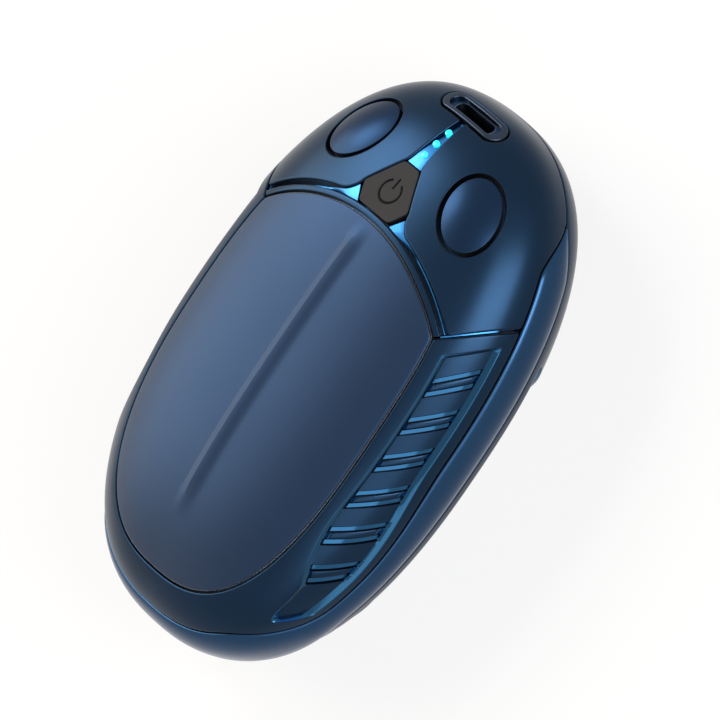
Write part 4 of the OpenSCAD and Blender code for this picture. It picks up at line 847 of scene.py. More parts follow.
def drop(points, at, turned):
    """Chart position where lines through local points, along the local Z axis, meet the surface.
    The crossing is found by halving an interval of the superellipsoid's own formula."""
    lo, hi = np.full(len(points), -DROP_SPAN), np.full(len(points), DROP_SPAN)
    for _ in range(HALVINGS):
        m = (lo + hi) / 2
        p = np.column_stack([points, m]) @ turned.T + at - [0, 0, MID]
        inside = gauge(p[:, 0], p[:, 1]) ** DEPTH_POWER + (np.abs(p[:, 2]) / HALF_D) ** DEPTH_POWER < 1
        lo, hi = np.where(inside, m, lo), np.where(inside, hi, m)
    p = np.column_stack([points, lo]) @ turned.T + at - [0, 0, MID]
    return to_chart(np.arctan2(p[:, 1], p[:, 0]), rise(p[:, 2]))


def stadium(w, h, n=24):
    """Outline of a bar with round ends, anticlockwise."""
    a = np.linspace(-RIGHT, RIGHT, n)
    end = np.stack([(w - h) / 2 + h / 2 * np.cos(a), h / 2 * np.sin(a)], -1)
    return np.concatenate([end, -end])


def ellipse(a, b, n=120):
    """Outline of an ellipse, anticlockwise: a times the cosine, b times the sine."""
    t = np.linspace(0, 2 * math.pi, n, endpoint=False)
    return np.stack([a * np.cos(t), b * np.sin(t)], -1)


bezel_half = SLOT_HIGH / 2 + BEZEL_BAND
head_arm_start = button_y + short_side
head_arm_end = PORT_Y - (bezel_half + BEZEL_GAP) * math.cos(port_lean)


def head_arm_x(y):
    """Half width of the channel between button and port: narrows fast, then slowly."""
    u = np.clip((y - head_arm_start) / (head_arm_end - head_arm_start), 0, 1)
    return mix(HEAD_ARM_HALF, HEAD_ARM_TIP, u ** ARM_TAPER)


arm_starts = (float(arc_angle(strip_edge, ARM_INNER)),
              float(arc_angle(lobe_edge + FLARE_WIDTH, ARM_OUTER)))
arm_flare_end = float(arc_angle(lobe_edge, ARM_FLARE))


def arm_plan(t, side, into=0.0):
    """Plan point of a side arm's inner or outer edge at polar angle t, moved into the arm."""
    flare = FLARE_WIDTH * np.clip((t - arm_flare_end) / (arm_starts[1] - arm_flare_end), 0, None) ** 2
    r = arc_polar(strip_edge + into, t) if side == 0 else arc_polar(lobe_edge - into + flare, t)
    return np.stack([r * np.cos(t), r * np.sin(t)], -1)


print("button, port and domes at y:", round(button_y, 2), PORT_Y, EYE_HEAD)

# %% Upper layer of the cover
LOBE_ARM_END, LOBE_ROUND, FLOOR_ROUND = 5.62, 0.28, 0.02
# Lengths left out where two lines of the outline meet: at the button, at the arm and at the port.
SKIP_BUTTON, SKIP_ARM, SKIP_PORT = 0.3, 0.1, 0.5
shoulder_shift = math.radians(SHOULDER_GAP / 4)
cover_edge = shoulder_low + shoulder_shift
port_opening = SLOT_LONG + 2 * (BEZEL_RIM + BEZEL_GAP), 2 * (bezel_half + BEZEL_GAP)


def shoulder_line(start, shift):
    """Chart points along the shoulder seam from the plan radius start down to the band."""
    corner = (start * math.cos(shoulder_top), start * math.sin(shoulder_top))
    e = np.linspace(float(lift(*corner)), float(rise(FLANK_Z + SEAM_GAP / 2)), 40)
    u = np.linspace(0, 1, 40)
    return to_chart(mix(shoulder_top, shoulder_low, u) + shift, e)


def lobe_half():
    """Right half of the upper layer's outline, from the nose round the shoulder to the port."""
    t = np.linspace(RIGHT, cover_edge, 120)
    seam = to_chart(t, rise(seam_up(t) + SEAM_GAP / 2))
    shoulder = shoulder_line(float(arc_polar(lobe_edge, shoulder_top)), shoulder_shift)[::-1]
    arm_end = float(arc_angle(lobe_edge + FLARE_WIDTH, LOBE_ARM_END))
    arm = arm_plan(np.linspace(shoulder_top + shoulder_shift, arm_end, 60), 1)
    hexa = hexagon(BUTTON_GAP)
    side = np.stack([mix(hexa[2], hexa[3], u) for u in np.linspace(0, 0.995, 16)])
    y = np.linspace(head_arm_start + SKIP_BUTTON, head_arm_end, 30)
    head = np.stack([head_arm_x(y), y], -1)
    arms = np.concatenate([arm, side, head])
    arms = plan_to_chart(arms[:, 0], arms[:, 1])
    opening = stadium(*port_opening, 40)
    right = opening[opening[:, 0] > -1e-6]
    right = right[np.argsort(np.arctan2(right[:, 1], right[:, 0] + 1e-9))]
    low_edge = np.stack([np.linspace(head_arm_x(head_arm_end) + SKIP_ARM, SLOT_LONG / 2, 12),
                         np.full(12, -(bezel_half + BEZEL_GAP))], -1)
    right = np.concatenate([low_edge, right[right[:, 0] > SLOT_LONG / 2 - SKIP_PORT],
                            low_edge[::-1] * [1, -1], [[0.0, bezel_half + BEZEL_GAP]]])
    port = drop(right, port_at, port_turn)
    return np.concatenate([seam, shoulder, arms, port])


half = lobe_half()
lobe_loop = np.concatenate([half[::-1], (half * [-1, 1])[1:-1]])
lobe_loop = resample(lobe_loop, 0.3, 3)
eye_loops = []
for s in (-1, 1):
    at, r = eye_frame(s)
    eye_loops.append(resample(drop(ellipse(EYE_SHORT, EYE_LONG), at, r), 0.35)[::-1])


def area(loop):
    """Signed area of a loop, positive when it runs anticlockwise."""
    return 0.5 * np.sum(loop[:, 0] * np.roll(loop[:, 1], -1) - np.roll(loop[:, 0], -1) * loop[:, 1])


def clockwise(loop):
    """The loop in the direction that an opening needs."""
    return loop if area(loop) < 0 else loop[::-1]


print("areas:", round(area(lobe_loop)), [round(area(l)) for l in eye_loops])
lobe_loop = clockwise(lobe_loop)[::-1]
eye_loops = [clockwise(l) for l in eye_loops]
lobes = carve([lobe_loop, *eye_loops], (LOBE_ROUND, EYE_ROUND, EYE_ROUND), CHANNEL_DEPTH, from_chart,
              step=0.75)

# %% Floor and strip of the cover
floor_t = np.linspace(RIGHT, cover_edge, 60)
floor_seam = to_chart(floor_t, rise(seam_up(floor_t) + SEAM_GAP / 2))
arc_t = np.linspace(shoulder_top, RIGHT, 60)
arc_r = arc_polar(arc_radius + PLATE_GAP, arc_t)
floor_arc = plan_to_chart(arc_r * np.cos(arc_t), arc_r * np.sin(arc_t))
floor_shoulder = shoulder_line(float(arc_r[0]), shoulder_shift)[::-1]
floor_loop = resample(closed(np.concatenate([floor_seam, floor_shoulder, floor_arc])), 0.6)
hexa = hexagon(BUTTON_GAP)
light_y = [head_arm_start + LIGHT_START + LIGHT_PITCH * i for i in range(3)]
holes = [plan_to_chart(*resample(hexa, 0.5).T),
         drop(resample(stadium(*port_opening), 0.5), port_at, port_turn)]
light_hole = ellipse(LIGHT_RADIUS + LIGHT_GAP, LIGHT_RADIUS + LIGHT_GAP, 24)
light_frames = [(at, turn("X", -lean)) for at, lean in (frame_at(0.0, y) for y in light_y)]
holes += [drop(light_hole, at, r) for at, r in light_frames]
loops = [clockwise(floor_loop)[::-1], *map(clockwise, holes)]
JOIN = 0.01
floor_top = CHANNEL_DEPTH - JOIN


def floor_place(p, d):
    """Chart positions at the channel's floor, or at the wall's full depth."""
    return from_chart(p, d + floor_top * (d < HEAD_WALL - JOIN))


floor = carve(loops, FLOOR_ROUND, HEAD_WALL, floor_place, step=1.2)


def strip_grid():
    """Strip along the plate: ledge, rounded edge, flat top, rounded edge, over the polar angle."""
    ts = np.concatenate([np.linspace(shoulder_top, shoulder_top + 0.02, 4)[:-1],
                         np.linspace(shoulder_top + 0.02, RIGHT, 90)])
    inner, edge = arc_radius + PLATE_GAP, np.array([STRIP_ROUND])
    u, d = rounded(edge / STRIP_WIDTH, edge, (0.5,))
    r = np.concatenate([[inner - LEDGE_WIDTH, inner], mix(inner, strip_edge, u[0])])[None]
    d = np.concatenate([[LEDGE_DEPTH, LEDGE_DEPTH], d[0]])[None] + 0 * ts[:, None]
    t = ts[:, None] + 0 * r
    plan = arc_polar(r, t)
    x, y = plan * np.cos(t), plan * np.sin(t)
    return mirrored(above(x, y, d)), mirrored(above(x, y, CHANNEL_DEPTH + STRIP_SUNK + 0 * d))


points, faces, _ = join([lobes, floor, slab_parts(*strip_grid())])
head_cover = build("head_cover_skin", points, faces)
print("cover faces:", len(head_cover.data.polygons))

# %% [markdown]
# ## Blue trims in the channel
# Two side arms and one head arm of polished blue plastic lie sunk in the
# channel. They stand high and bright beside the button and fall away from it. A
# curve with a depth would keep one width, so each arm is a bar between two lines
# that follow the channel's own edges.

# %% Trims
TRIM_GAP, TRIM_START, TRIM_DEEP, TRIM_EDGE = 0.08, 0.3, 1.5, 0.1
TRIM_THIN, SHOULDER_TRIM, HEAD_TRIM_FALL = 0.38, 0.6, 0.7
TRIM_INNER, TRIM_OUTER = 3.95, 5.75
# Where the side arm starts to thin and to sink, where the shoulder bar sinks, over what share each
# does so, and where the arm ends.
THIN_FROM, THIN_OVER, SINK_FROM, SINK_OVER = 0.12, 0.25, 0.06, 0.3
BAR_FROM, BAR_OVER, ARM_STOP = 0.7, 0.1, 0.99
# Gaps at the head arm's two ends, and the part of the smooth step that its fall takes.
HEAD_TRIM_START, HEAD_TRIM_END, HEAD_TRIM_EASE = 0.28, 0.05, (-0.3, 1.2)
trim_floor = CHANNEL_DEPTH - TRIM_GAP / 2


def bar_parts(left, right, depth, low, place):
    """A bar between two lines of chart or plan points: rounded edges, a flat top at its own depth."""
    width = np.linalg.norm(right - left, axis=1)
    r = np.minimum(TRIM_EDGE, width / 3)
    u, d = rounded(r / width, r, (0.35, 0.5, 0.65))
    p = mix(left[:, None], right[:, None], u[..., None])
    d = d + depth[:, None]
    return slab_parts(place(p, d), place(p, low + 0 * d))


def plan_place(p, d):
    """Plan positions laid on the upper surface."""
    return above(p[..., 0], p[..., 1], d)


def side_trim():
    """Right arm from the button to the shoulder, and the bar along the shoulder seam."""
    starts = (float(arc_angle(strip_edge, TRIM_INNER)),
              float(arc_angle(lobe_edge + FLARE_WIDTH, TRIM_OUTER)))
    u = np.linspace(0, ARM_STOP, 90)
    gap = mix(TRIM_GAP, TRIM_THIN, ease((u - THIN_FROM) / THIN_OVER))
    left = arm_plan(mix(starts[0], shoulder_top, u), 0, gap)
    right = arm_plan(mix(starts[1], shoulder_top, u), 1, gap)
    depth = mix(TRIM_START, TRIM_DEEP, ease((u - SINK_FROM) / SINK_OVER))
    arm = bar_parts(left, right, depth, trim_floor, plan_place)
    corner = float(arc_polar(strip_edge, shoulder_top))
    e_top = float(lift(corner * math.cos(shoulder_top), corner * math.sin(shoulder_top)))
    v = np.linspace(0, 1, 50)
    e = mix(e_top, float(rise(FLANK_Z + SEAM_GAP)), v)
    t = mix(shoulder_top, shoulder_low, v)
    h = math.atan((SHOULDER_GAP / 2 - TRIM_GAP) / HALF_W)
    sunk = mix(SHOULDER_TRIM, TRIM_DEEP, ease((v - BAR_FROM) / BAR_OVER))
    bar = bar_parts(to_chart(t - h, e), to_chart(t, e), sunk, CHANNEL_DEPTH, from_chart)
    return [arm, bar]


points, faces, _ = join(side_trim())
right_trim = build("right_trim_skin", points, faces)
left_trim = build("left_trim_skin", points * [-1, 1, 1], faces)
y = np.linspace(head_arm_start + HEAD_TRIM_START, head_arm_end - HEAD_TRIM_END, 60)
x = head_arm_x(y) - TRIM_GAP
depth = mix(TRIM_START, TRIM_START + HEAD_TRIM_FALL, ease(np.linspace(*HEAD_TRIM_EASE, 60)))
points, faces = bar_parts(np.stack([-x, y], -1), np.stack([x, y], -1), depth, trim_floor, plan_place)
head_trim = build("head_trim_skin", points, faces)
print("trim faces:", *(len(piece.data.polygons) for piece in (left_trim, head_trim, right_trim)))

# %% [markdown]
# ## Button, lights, domes and port
# The power button is a hexagonal key with a standby sign sunk in its face. A bump
# could draw the sign, but would have no shadow of its own. So the key is two
# closed solids, one over the other: the sign has true walls, and a floor with
# its own finish. Below them are the rim that keeps the key in the cover and the
# top of its stem.

# %% Power button
BUTTON_LEAN, SYMBOL_DEPTH = 11.7, 0.25
SYMBOL_RADIUS, SYMBOL_LINE, SYMBOL_OPENING = 1.95, 0.4, 60.0
RIM_DROP, RIM_THICK, RIM_GAP, STEM_RADIUS = 3.3, 0.7, 0.1, 1.8
KEY_ROUND, BODY_ROUND, RIM_ROUND = 0.12, 0.01, 0.05
rim_top = button_z - RIM_DROP


def symbol_arc():
    """Open ring of the standby sign with round ends, clockwise."""
    half = math.radians(SYMBOL_OPENING / 2)
    a = np.linspace(RIGHT + half, RIGHT + 2 * math.pi - half, 64)
    ring = np.stack([np.cos(a), np.sin(a)], -1)
    return np.concatenate([(SYMBOL_RADIUS - SYMBOL_LINE / 2) * ring,
                           ((SYMBOL_RADIUS + SYMBOL_LINE / 2) * ring)[::-1]])


def symbol_stroke():
    """Upright stroke of the standby sign, clockwise."""
    x, y0, y1 = SYMBOL_LINE / 2, SYMBOL_RADIUS / 4, SYMBOL_RADIUS * 1.25
    return np.array([[-x, y0], [-x, y1], [x, y1], [x, y0]])


def button_place(p, d):
    """Plane of the key's face, leaned to the head, with depth straight down."""
    z = button_z - math.tan(math.radians(BUTTON_LEAN)) * p[:, 1] - d
    return np.stack([p[:, 0], p[:, 1] + button_y, z], -1)


key = resample(hexagon() - [0, button_y], 0.16, 10)
signs = [clockwise(resample(symbol_arc(), 0.12, 1)), clockwise(resample(symbol_stroke(), 0.1))]
face = carve([key, *signs], KEY_ROUND, SYMBOL_DEPTH, button_place, step=0.45)


def key_body_place(p, d):
    """Key under its face: from the depth of the sign down to the level of the rim."""
    q = button_place(p, SYMBOL_DEPTH)
    q[:, 2] = np.where(d > BELOW / 2, rim_top, q[:, 2])
    return q


def level_place(top_z, low_z):
    """Plan positions about the button, at one of two levels."""
    return lambda p, d: np.stack([p[:, 0], p[:, 1] + button_y, np.where(d > BELOW / 2, low_z, top_z)], -1)


body = carve([resample(key, 0.3)], BODY_ROUND, BELOW, key_body_place, step=0.9)
rim_low = rim_top - RIM_THICK
rim = carve([resample(hexagon(BUTTON_RIM) - [0, button_y], 0.6)], RIM_ROUND, BELOW,
            level_place(rim_top, rim_low), step=1.2)
stem = carve([ellipse(STEM_RADIUS, STEM_RADIUS, 40)], RIM_ROUND, BELOW,
             level_place(rim_low, rim_low - RIM_GAP), step=1.2)
points, faces, marks = join([face, body, rim, stem])
power_button = build("power_button_skin", points, faces, [1 if m == 1 else 0 for m in marks])
print("button faces:", len(power_button.data.polygons))

# %% [markdown]
# The domes are polar grids on an elliptical foot. A scaled sphere would be too
# round at the rim, so a dome has a short wall and a low crown over it. Both
# stand in their grooves with a shadow gap all round.

# %% Domes
def dome(name, s):
    """Cap on a short wall with a crisp rim: its height is the edge plus the crown times 1 - r^2."""
    at, r = eye_frame(s)
    a, b = EYE_SHORT - EYE_GROOVE, EYE_LONG - EYE_GROOVE
    turnk = np.linspace(0, RIGHT, 40)
    rim = 1 - EYE_ROUND / b
    radius = np.concatenate([[1], 1 - (1 - rim) * edge_in[::-1], rim * np.cos(turnk[1:])])
    level = np.concatenate([[-EYE_FOOT], EYE_EDGE - EYE_ROUND * edge_down[::-1],
                            EYE_EDGE + EYE_CROWN * np.sin(turnk[1:]) ** 2])
    radius[-1] = 0
    return build(name, *cap_parts(level - EYE_DEPTH, radius, a, b, at, r, 96))


left_eye, right_eye = dome("left_eye_skin", -1), dome("right_eye_skin", 1)
print("dome faces:", len(left_eye.data.polygons), len(right_eye.data.polygons))

# %% [markdown]
# The charging port has a stadium rim, whose face is curved as the head is, and
# three pin lights stand in the narrow arm beside it. The rim could be bent with a
# modifier, but then its walls would lean, so only its face follows a cylinder.
# The part in front has the slot, and the part behind it holds the socket.

# %% Charging port and pin lights
BEZEL_ROUND, BEZEL_PROUD, BEZEL_DEPTH, SLOT_DEEP = 48.0, 0.15, 3.4, 0.9
BEZEL_EDGE, SOCKET_EDGE = 0.2, 0.02
SOCKET_WIDTH, SOCKET_HEIGHT = 8.94, 3.26


def port_place(top, low):
    """Positions in the port's plane; the face follows a cylinder round the head."""
    def place(p, d):
        """Face height: the root of the cylinder's radius squared less x squared, less the radius."""
        face = BEZEL_PROUD - BEZEL_ROUND + np.sqrt(BEZEL_ROUND ** 2 - p[:, 0] ** 2)
        z = np.where(d > BELOW / 2, low, (face if top is None else top) - d)
        return np.column_stack([p, z]) @ port_turn.T + port_at
    return place


rim_loop = resample(stadium(SLOT_LONG + 2 * BEZEL_RIM, 2 * bezel_half), 0.25)
slot_loop = resample(stadium(SLOT_LONG, SLOT_HIGH), 0.25)[::-1]
socket_loop = resample(stadium(SOCKET_WIDTH + 2 * TRIM_GAP, SOCKET_HEIGHT + 2 * TRIM_GAP), 0.3)[::-1]
bezel_top = carve([rim_loop, slot_loop], BEZEL_EDGE, BELOW, port_place(None, -SLOT_DEEP), step=0.5)
bezel_low = carve([rim_loop, socket_loop], SOCKET_EDGE, BELOW,
                  port_place(JOIN - SLOT_DEEP, -BEZEL_DEPTH), step=0.8)
points, faces, marks = join([bezel_top, bezel_low])
port_bezel = build("port_bezel_skin", points, faces, marks)

LENS_WALL, LENS_EDGE, LENS_CROWN = 0.3, 0.1, 0.12
turn7 = np.linspace(0, RIGHT, 7)
lens_ring = np.concatenate([[1, 1], np.cos(turn7)])
lens_ring[-1] = 0
lens_level = np.concatenate([[-HEAD_WALL, -LENS_WALL], LENS_CROWN * np.sin(turn7) - LENS_EDGE])
points, faces, _ = join([cap_parts(lens_level, lens_ring, LIGHT_RADIUS, LIGHT_RADIUS, at, r, 28)
                         for at, r in light_frames])
lenses = build("indicator_lenses_skin", points, faces)
print("bezel faces:", len(port_bezel.data.polygons), "lens faces:", len(lenses.data.polygons))

# %% [markdown]
# ## Finishes
# Shader maths is written as Python: a small class wraps a socket, and adding or
# multiplying two of them adds a Math node.

# %% A socket that can be added and multiplied
class Wire:
    """One output of a node, with arithmetic that adds Math nodes."""

    def __init__(self, nodes, socket):
        self.nodes, self.socket = nodes, socket

    def maths(self, operation, other):
        """A Math node on this output and another, or a number."""
        return self.nodes.node("Math", {"operation": operation}, **{"0": self, "1": other})

    def __add__(self, other):
        return self.maths("ADD", other)

    def __mul__(self, other):
        return self.maths("MULTIPLY", other)

    __radd__, __rmul__ = __add__, __mul__


class Nodes:
    """The node tree of a material or a world, and its main node."""

    def __init__(self, owner, main):
        owner.use_nodes = True
        self.tree = owner.node_tree
        self.main = self.tree.nodes[main]

    def put(self, socket, value):
        """Link a wire to a socket, or set the socket's own value."""
        if isinstance(value, Wire):
            self.tree.links.new(value.socket, socket)
        else:
            socket.default_value = value

    def node(self, kind, settings=(), out=0, **sockets):
        """Any node: its settings first, then the values or links of its sockets, by name or number."""
        n = self.tree.nodes.new("ShaderNode" + kind)
        for key, value in dict(settings).items():
            setattr(n, key, value)
        for key, value in sockets.items():
            self.put(n.inputs[int(key) if key.isdigit() else key], value)
        return Wire(self, n.outputs[out])

    def feed(self, name, value):
        """Link or set a socket of the main node."""
        self.put(self.main.inputs[name], value)

    def seen(self):
        """1 for rays from the camera, off a glossy surface or through glass, and otherwise 0."""
        straight, glossy, glass = (self.node("LightPath", out="Is %s Ray" % kind)
                                   for kind in ("Camera", "Glossy", "Transmission"))
        return straight + glossy + glass


class Finish(Nodes):
    """A material with one Principled shader."""

    def __init__(self, name, **fixed):
        self.material = bpy.data.materials.new(name)
        super().__init__(self.material, "Principled BSDF")
        for key, value in fixed.items():
            self.feed(key.replace("_", " "), value)

    def noise(self, scale, detail=2.0):
        """Noise of a given scale per metre on Object coordinates, from 0 to 1."""
        place = self.node("TexCoord", out="Object")
        return self.node("TexNoise", Vector=place, Scale=scale, Detail=detail, Roughness=0.5)

    def blend(self, a, b, factor):
        """Mix of two colours, given as wires or as RGB."""
        return self.node("Mix", {"data_type": "RGBA"}, 2, **{"Factor": factor, "6": a, "7": b})

    def bump(self, height_wire, strength, distance):
        """Bump from a height wire."""
        self.feed("Normal", self.node("Bump", Height=height_wire, Strength=strength, Distance=distance))


def rgb(code, alpha=1.0):
    """Linear colour of a web colour code: ((v + 0.055) / 1.055)^2.4, and v / 12.92 where it is dark."""
    c = [int(code[i:i + 2], 16) / 255 for i in (1, 3, 5)]
    return (*[v / 12.92 if v <= 0.04045 else ((v + 0.055) / 1.055) ** 2.4 for v in c], alpha)


print("shell blue as a linear colour:", np.round(rgb("#16273a"), 3))

# %% [markdown]
# The shell is satin metallic paint. One flat colour would look unfinished, so it
# has a fine grain in the roughness and in a very shallow bump, and a faint
# cloudiness in the colour, as sprayed paint has.

# %% Materials
CLOUD_SCALE, BUMP_GRAIN, BUMP_STRENGTH = 60.0, 0.6, 0.35
STOCK_SPREAD, STOCK_BUMP = 0.12, 0.3


def satin(name, dark, light, rough, metallic, grain=9000.0, depth=0.000004, spread=0.05,
          sheen=0.0, gloss=0.5):
    """Sprayed metallic finish between two close colours."""
    f = Finish(name, Metallic=metallic, Sheen_Weight=sheen, Sheen_Roughness=0.4,
               Specular_IOR_Level=gloss)
    f.feed("Base Color", f.blend(rgb(dark), rgb(light), f.noise(CLOUD_SCALE, 3.0)))
    f.feed("Roughness", f.noise(grain) * spread + (rough - spread / 2))
    f.bump(f.noise(grain * BUMP_GRAIN), BUMP_STRENGTH, depth)
    return f.material


# Grain, depth of the bump and spread of the roughness on a polished piece.
POLISH = 5000.0, 0.000001, 0.03
shell_paint = satin("shell satin blue", "#16273a", "#1b2e43", 0.31, 1.0, sheen=0.04)
# The band's paint is a lighter copy of the shell's satin blue. This is a painted reflection: it stands in
# for the bright light that the band catches from low on the right.
band_paint_with_painted_reflection = satin("band satin blue with painted reflection", "#213a56", "#274361", 0.25, 1.0, sheen=0.04)
slot_polish = satin("slot polished blue", "#224a6b", "#265376", 0.12, 0.95, *POLISH)
wall_polish = satin("panel edge blue", "#1d3f5a", "#214763", 0.16, 0.95, *POLISH)
plate_paint = satin("plate satin grey blue", "#1e2f47", "#22344d", 0.42, 0.97, sheen=0.4)
trim_polish = satin("trim polished blue", "#2f6ea5", "#3679b3", 0.34, 0.95, *POLISH)
button_grain = satin("button matte grey", "#2f2f30", "#363637", 0.75, 0.0, 6000.0, 0.00001, 0.1,
                     gloss=0.15)
button_sign = satin("button sign dark", "#0c0c0d", "#101011", 0.75, 0.0, 6000.0, 0.000004, 0.1,
                    gloss=0.1)
bezel_metal = satin("bezel dark blue grey", "#2b3442", "#323c4b", 0.28, 0.95, 8000.0, 0.000002, 0.05)
bezel_inside = satin("bezel inside blue", "#1b3350", "#21405f", 0.35, 0.9)
dome_paint = satin("dome satin blue", "#17283d", "#1c2f47", 0.33, 1.0, sheen=0.04)


def plain(name, base, second, rough, metallic=0.0, scale=900.0, bump=0.00001):
    """Moulded or rolled stock: two close tones in fine noise, with roughness and bump from it."""
    f = Finish(name, Metallic=metallic)
    n = f.noise(scale, 3.0)
    f.feed("Base Color", f.blend(rgb(base), rgb(second), n))
    f.feed("Roughness", n * STOCK_SPREAD + (rough - STOCK_SPREAD / 2))
    f.bump(n, STOCK_BUMP, bump)
    return f.material


glow = Finish("pin light cyan", Roughness=0.3, Emission_Strength=0.75)
glow_tone = glow.blend(rgb("#00e8ff"), rgb("#3affff"), glow.noise(2500.0))
glow.feed("Base Color", glow_tone)
glow.feed("Emission Color", glow_tone)

# Each inner finish, and the CAD nodes that wear it.
stock = [
    (plain("socket dark nickel", "#3f4a5a", "#4a5668", 0.3, 1.0), "usb_socket"),
    (plain("tongue and body black", "#131316", "#1a1a1e", 0.5),
     "usb_tongue controller_chip switch_body thermistor"),
    (plain("board green", "#1b5637", "#216344", 0.4, 0.0, 1500.0), "port_board main_board"),
    (plain("plug ivory", "#e2dccb", "#efe9d8", 0.4), "indicator_leds cell_plug"),
    (plain("plunger red", "#b8322a", "#c7352c", 0.4), "switch_plunger"),
    (plain("inductor ferrite", "#45474a", "#505256", 0.7), "power_inductor"),
    (plain("capacitor ceramic", "#a98d6b", "#b89a76", 0.5), "capacitors"),
    (plain("flexible circuit amber", "#bd8026", "#cf912f", 0.35),
     "port_cable led_strip front_heater back_heater"),
    (plain("cell foil silver", "#a4aab0", "#b8bec4", 0.35, 0.7, 300.0, 0.00003), "front_cell back_cell"),
    (plain("tray dark grey", "#36393e", "#404349", 0.6), "cell_tray"),
    (plain("foam light grey", "#cfcfcc", "#dededb", 0.95, 0.0, 1800.0, 0.0002), "front_foam back_foam"),
    (plain("wire sleeve", "#19191b", "#232326", 0.5), "cell_wires heater_wires"),
    (plain("screw zinc", "#b9bcc0", "#c8cbd0", 0.3, 1.0), "board_screws tray_screws"),
]
print("inner finishes:", len(stock))

# %% [markdown]
# ## Which piece wears what
# A new piece rides on the body that it belongs to and stands for one CAD node.
# The inner parts could all be rebuilt too, but their CAD shapes are right, so
# they only get a finish.

# %% Dress the pieces
def dress(piece, body, node, slot, *materials):
    """Ride on a body, stand for a CAD node and wear the materials; the slot is not used."""
    for m in materials:
        piece.data.materials.append(m)
    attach(piece, body)
    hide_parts(node)


dress(front_plate, "body", "front_plate", "plate", plate_paint)
dress(back_plate, "body", "back_plate", "plate", plate_paint)
dress(front_frame, "body", "front_frame", "shell", shell_paint, slot_polish, wall_polish)
dress(back_shell, "body", "back_shell", "shell", shell_paint, slot_polish, wall_polish)
# The band wears its lighter paint, which is a painted reflection.
dress(mid_band, "body", "mid_band", "shell", band_paint_with_painted_reflection)
dress(head_cover, "body", "head_cover", "shell", shell_paint)
dress(head_trim, "body", "head_trim", "trim", trim_polish)
dress(left_trim, "body", "left_trim", "trim", trim_polish)
dress(right_trim, "body", "right_trim", "trim", trim_polish)
dress(power_button, "button", "power_button", "button", button_grain, button_sign)
dress(left_eye, "body", "left_eye", "shell", dome_paint)
dress(right_eye, "body", "right_eye", "shell", dome_paint)
dress(port_bezel, "body", "port_bezel", "bezel", bezel_metal, bezel_inside)
dress(lenses, "body", "indicator_lenses", "lens", glow.material)

for finish, nodes in stock:
    for node in nodes.split():
        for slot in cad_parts[node].material_slots:
            slot.material = finish
print("inner nodes dressed:", sum(len(nodes.split()) for _, nodes in stock))

# %% [markdown]
# ## Floor, light and camera
# A white studio: the floor and the far backdrop are white to the camera and to
# reflections, and the lamps stay plain. Two soft boxes draw the highlights on
# the head and the shoulder, a warm panel on the left lights the plate, and a
# faint one in front puts light into the slots. A picture of a studio could light
# the object too, but lamps can be moved one by one.

# %% Stage
def square(name, size):
    """A square floor at height zero."""
    mesh = bpy.data.meshes.new(name)
    s = size / 2
    mesh.from_pydata([(-s, -s, 0), (s, -s, 0), (s, s, 0), (-s, s, 0)], [], [(0, 1, 2, 3)])
    return add_object(name, mesh)


def pose(axes, at):
    """Matrix from three axes and a place."""
    return Matrix([[*map(float, r)] for r in np.column_stack([*axes, at])] + [[0, 0, 0, 1]])


SHADE_LIFT, ROOM_LEVEL, LAMP_FAR = 0.83, 0.045, 0.9
floor_piece = square("studio_floor", 6.0)
ground = Finish("studio floor white", Roughness=0.9, Specular_IOR_Level=0.0)
lifted = ground.seen() * SHADE_LIFT
white = ground.blend(rgb("#fbfbfb"), rgb("#ffffff"), ground.noise(3.0))
ground.feed("Base Color", ground.blend(white, rgb("#000000"), lifted))
ground.feed("Emission Color", white)
ground.feed("Emission Strength", lifted)
floor_piece.data.materials.append(ground.material)

world = bpy.data.worlds.new("studio")
bpy.context.scene.world = world
backdrop = Nodes(world, "Background")
backdrop.feed("Strength", backdrop.seen() * (1 - ROOM_LEVEL) + ROOM_LEVEL)
backdrop.feed("Color", (1, 1, 1, 1))


def heading(azimuth, elevation):
    """Unit vector towards an azimuth from +X and an elevation above the floor, in degrees."""
    a, e = math.radians(azimuth), math.radians(elevation)
    return np.array([math.cos(e) * math.cos(a), math.cos(e) * math.sin(a), math.sin(e)])


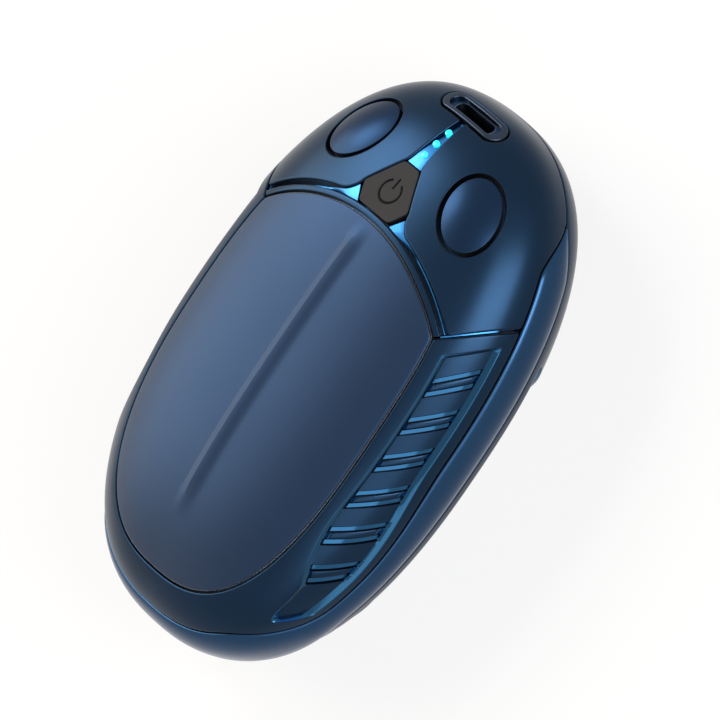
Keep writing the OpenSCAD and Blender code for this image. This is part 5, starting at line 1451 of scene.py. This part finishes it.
def soft_box(name, low_left, low_right, rise_by, radiance, tint=(1.0, 1.0, 1.0)):
    """A rectangular lamp that looks at the object. Its lower edge runs between two headings, and its
    height is a share of its distance. A lamp's power is pi times its radiance times its area."""
    a, b = LAMP_FAR * heading(*low_left), LAMP_FAR * heading(*low_right)
    along = (b - a) / np.linalg.norm(b - a)
    out = (a + b) / 2 / np.linalg.norm((a + b) / 2)
    up = np.cross(out, along)
    up /= np.linalg.norm(up)
    size = np.linalg.norm(b - a), rise_by * LAMP_FAR
    lamp = bpy.data.lights.new(name, "AREA")
    lamp.shape, lamp.size, lamp.size_y = "RECTANGLE", size[0], size[1]
    lamp.energy, lamp.color = math.pi * radiance * size[0] * size[1], tint
    at = (a + b) / 2 + up * size[1] / 2
    add_object(name, lamp).matrix_world = pose((along, up, np.cross(along, up)), at)
    print(name, "of", [round(float(v), 2) for v in size], "m:", round(lamp.energy, 2), "W")


soft_box("left box", (145, 34), (168, 34), 0.38, 10.0)
soft_box("right box", (10, 9), (38, 9), 0.78, 8.6)
soft_box("left panel", (170, 17), (212, 17), 0.84, 4.8, (1.0, 0.89, 0.75))
soft_box("front panel", (-50, 27), (2, 7), 0.6, 1.9)

# %% [markdown]
# The camera stands where the photograph was taken from: nearly over the right
# flank, and rolled, so that the object lies across the picture.

# %% Camera
camera = add_object("camera", bpy.data.cameras.new("camera"))
CAMERA_AT = np.array([732.5085, 192.7796, 993.4538]) + [0, 0, MID]
camera_right = np.array([0.61702, 0.55379, -0.55911])
camera_up = np.array([-0.52599, 0.81868, 0.23042])
camera_back = np.array([0.58534, 0.15191, 0.79643])
camera.matrix_world = pose((camera_right, camera_up, camera_back), CAMERA_AT * MM)
PICTURE, FOCAL_PIXELS = 720, 1249.27 * 6.36102
camera.data.sensor_width = 36.0
camera.data.lens = FOCAL_PIXELS / PICTURE * camera.data.sensor_width
camera.data.clip_start, camera.data.clip_end = 0.05, 20.0
bpy.context.scene.camera = camera
bpy.context.scene.view_settings.view_transform = "Standard"
print("lens:", round(camera.data.lens, 1), "mm")
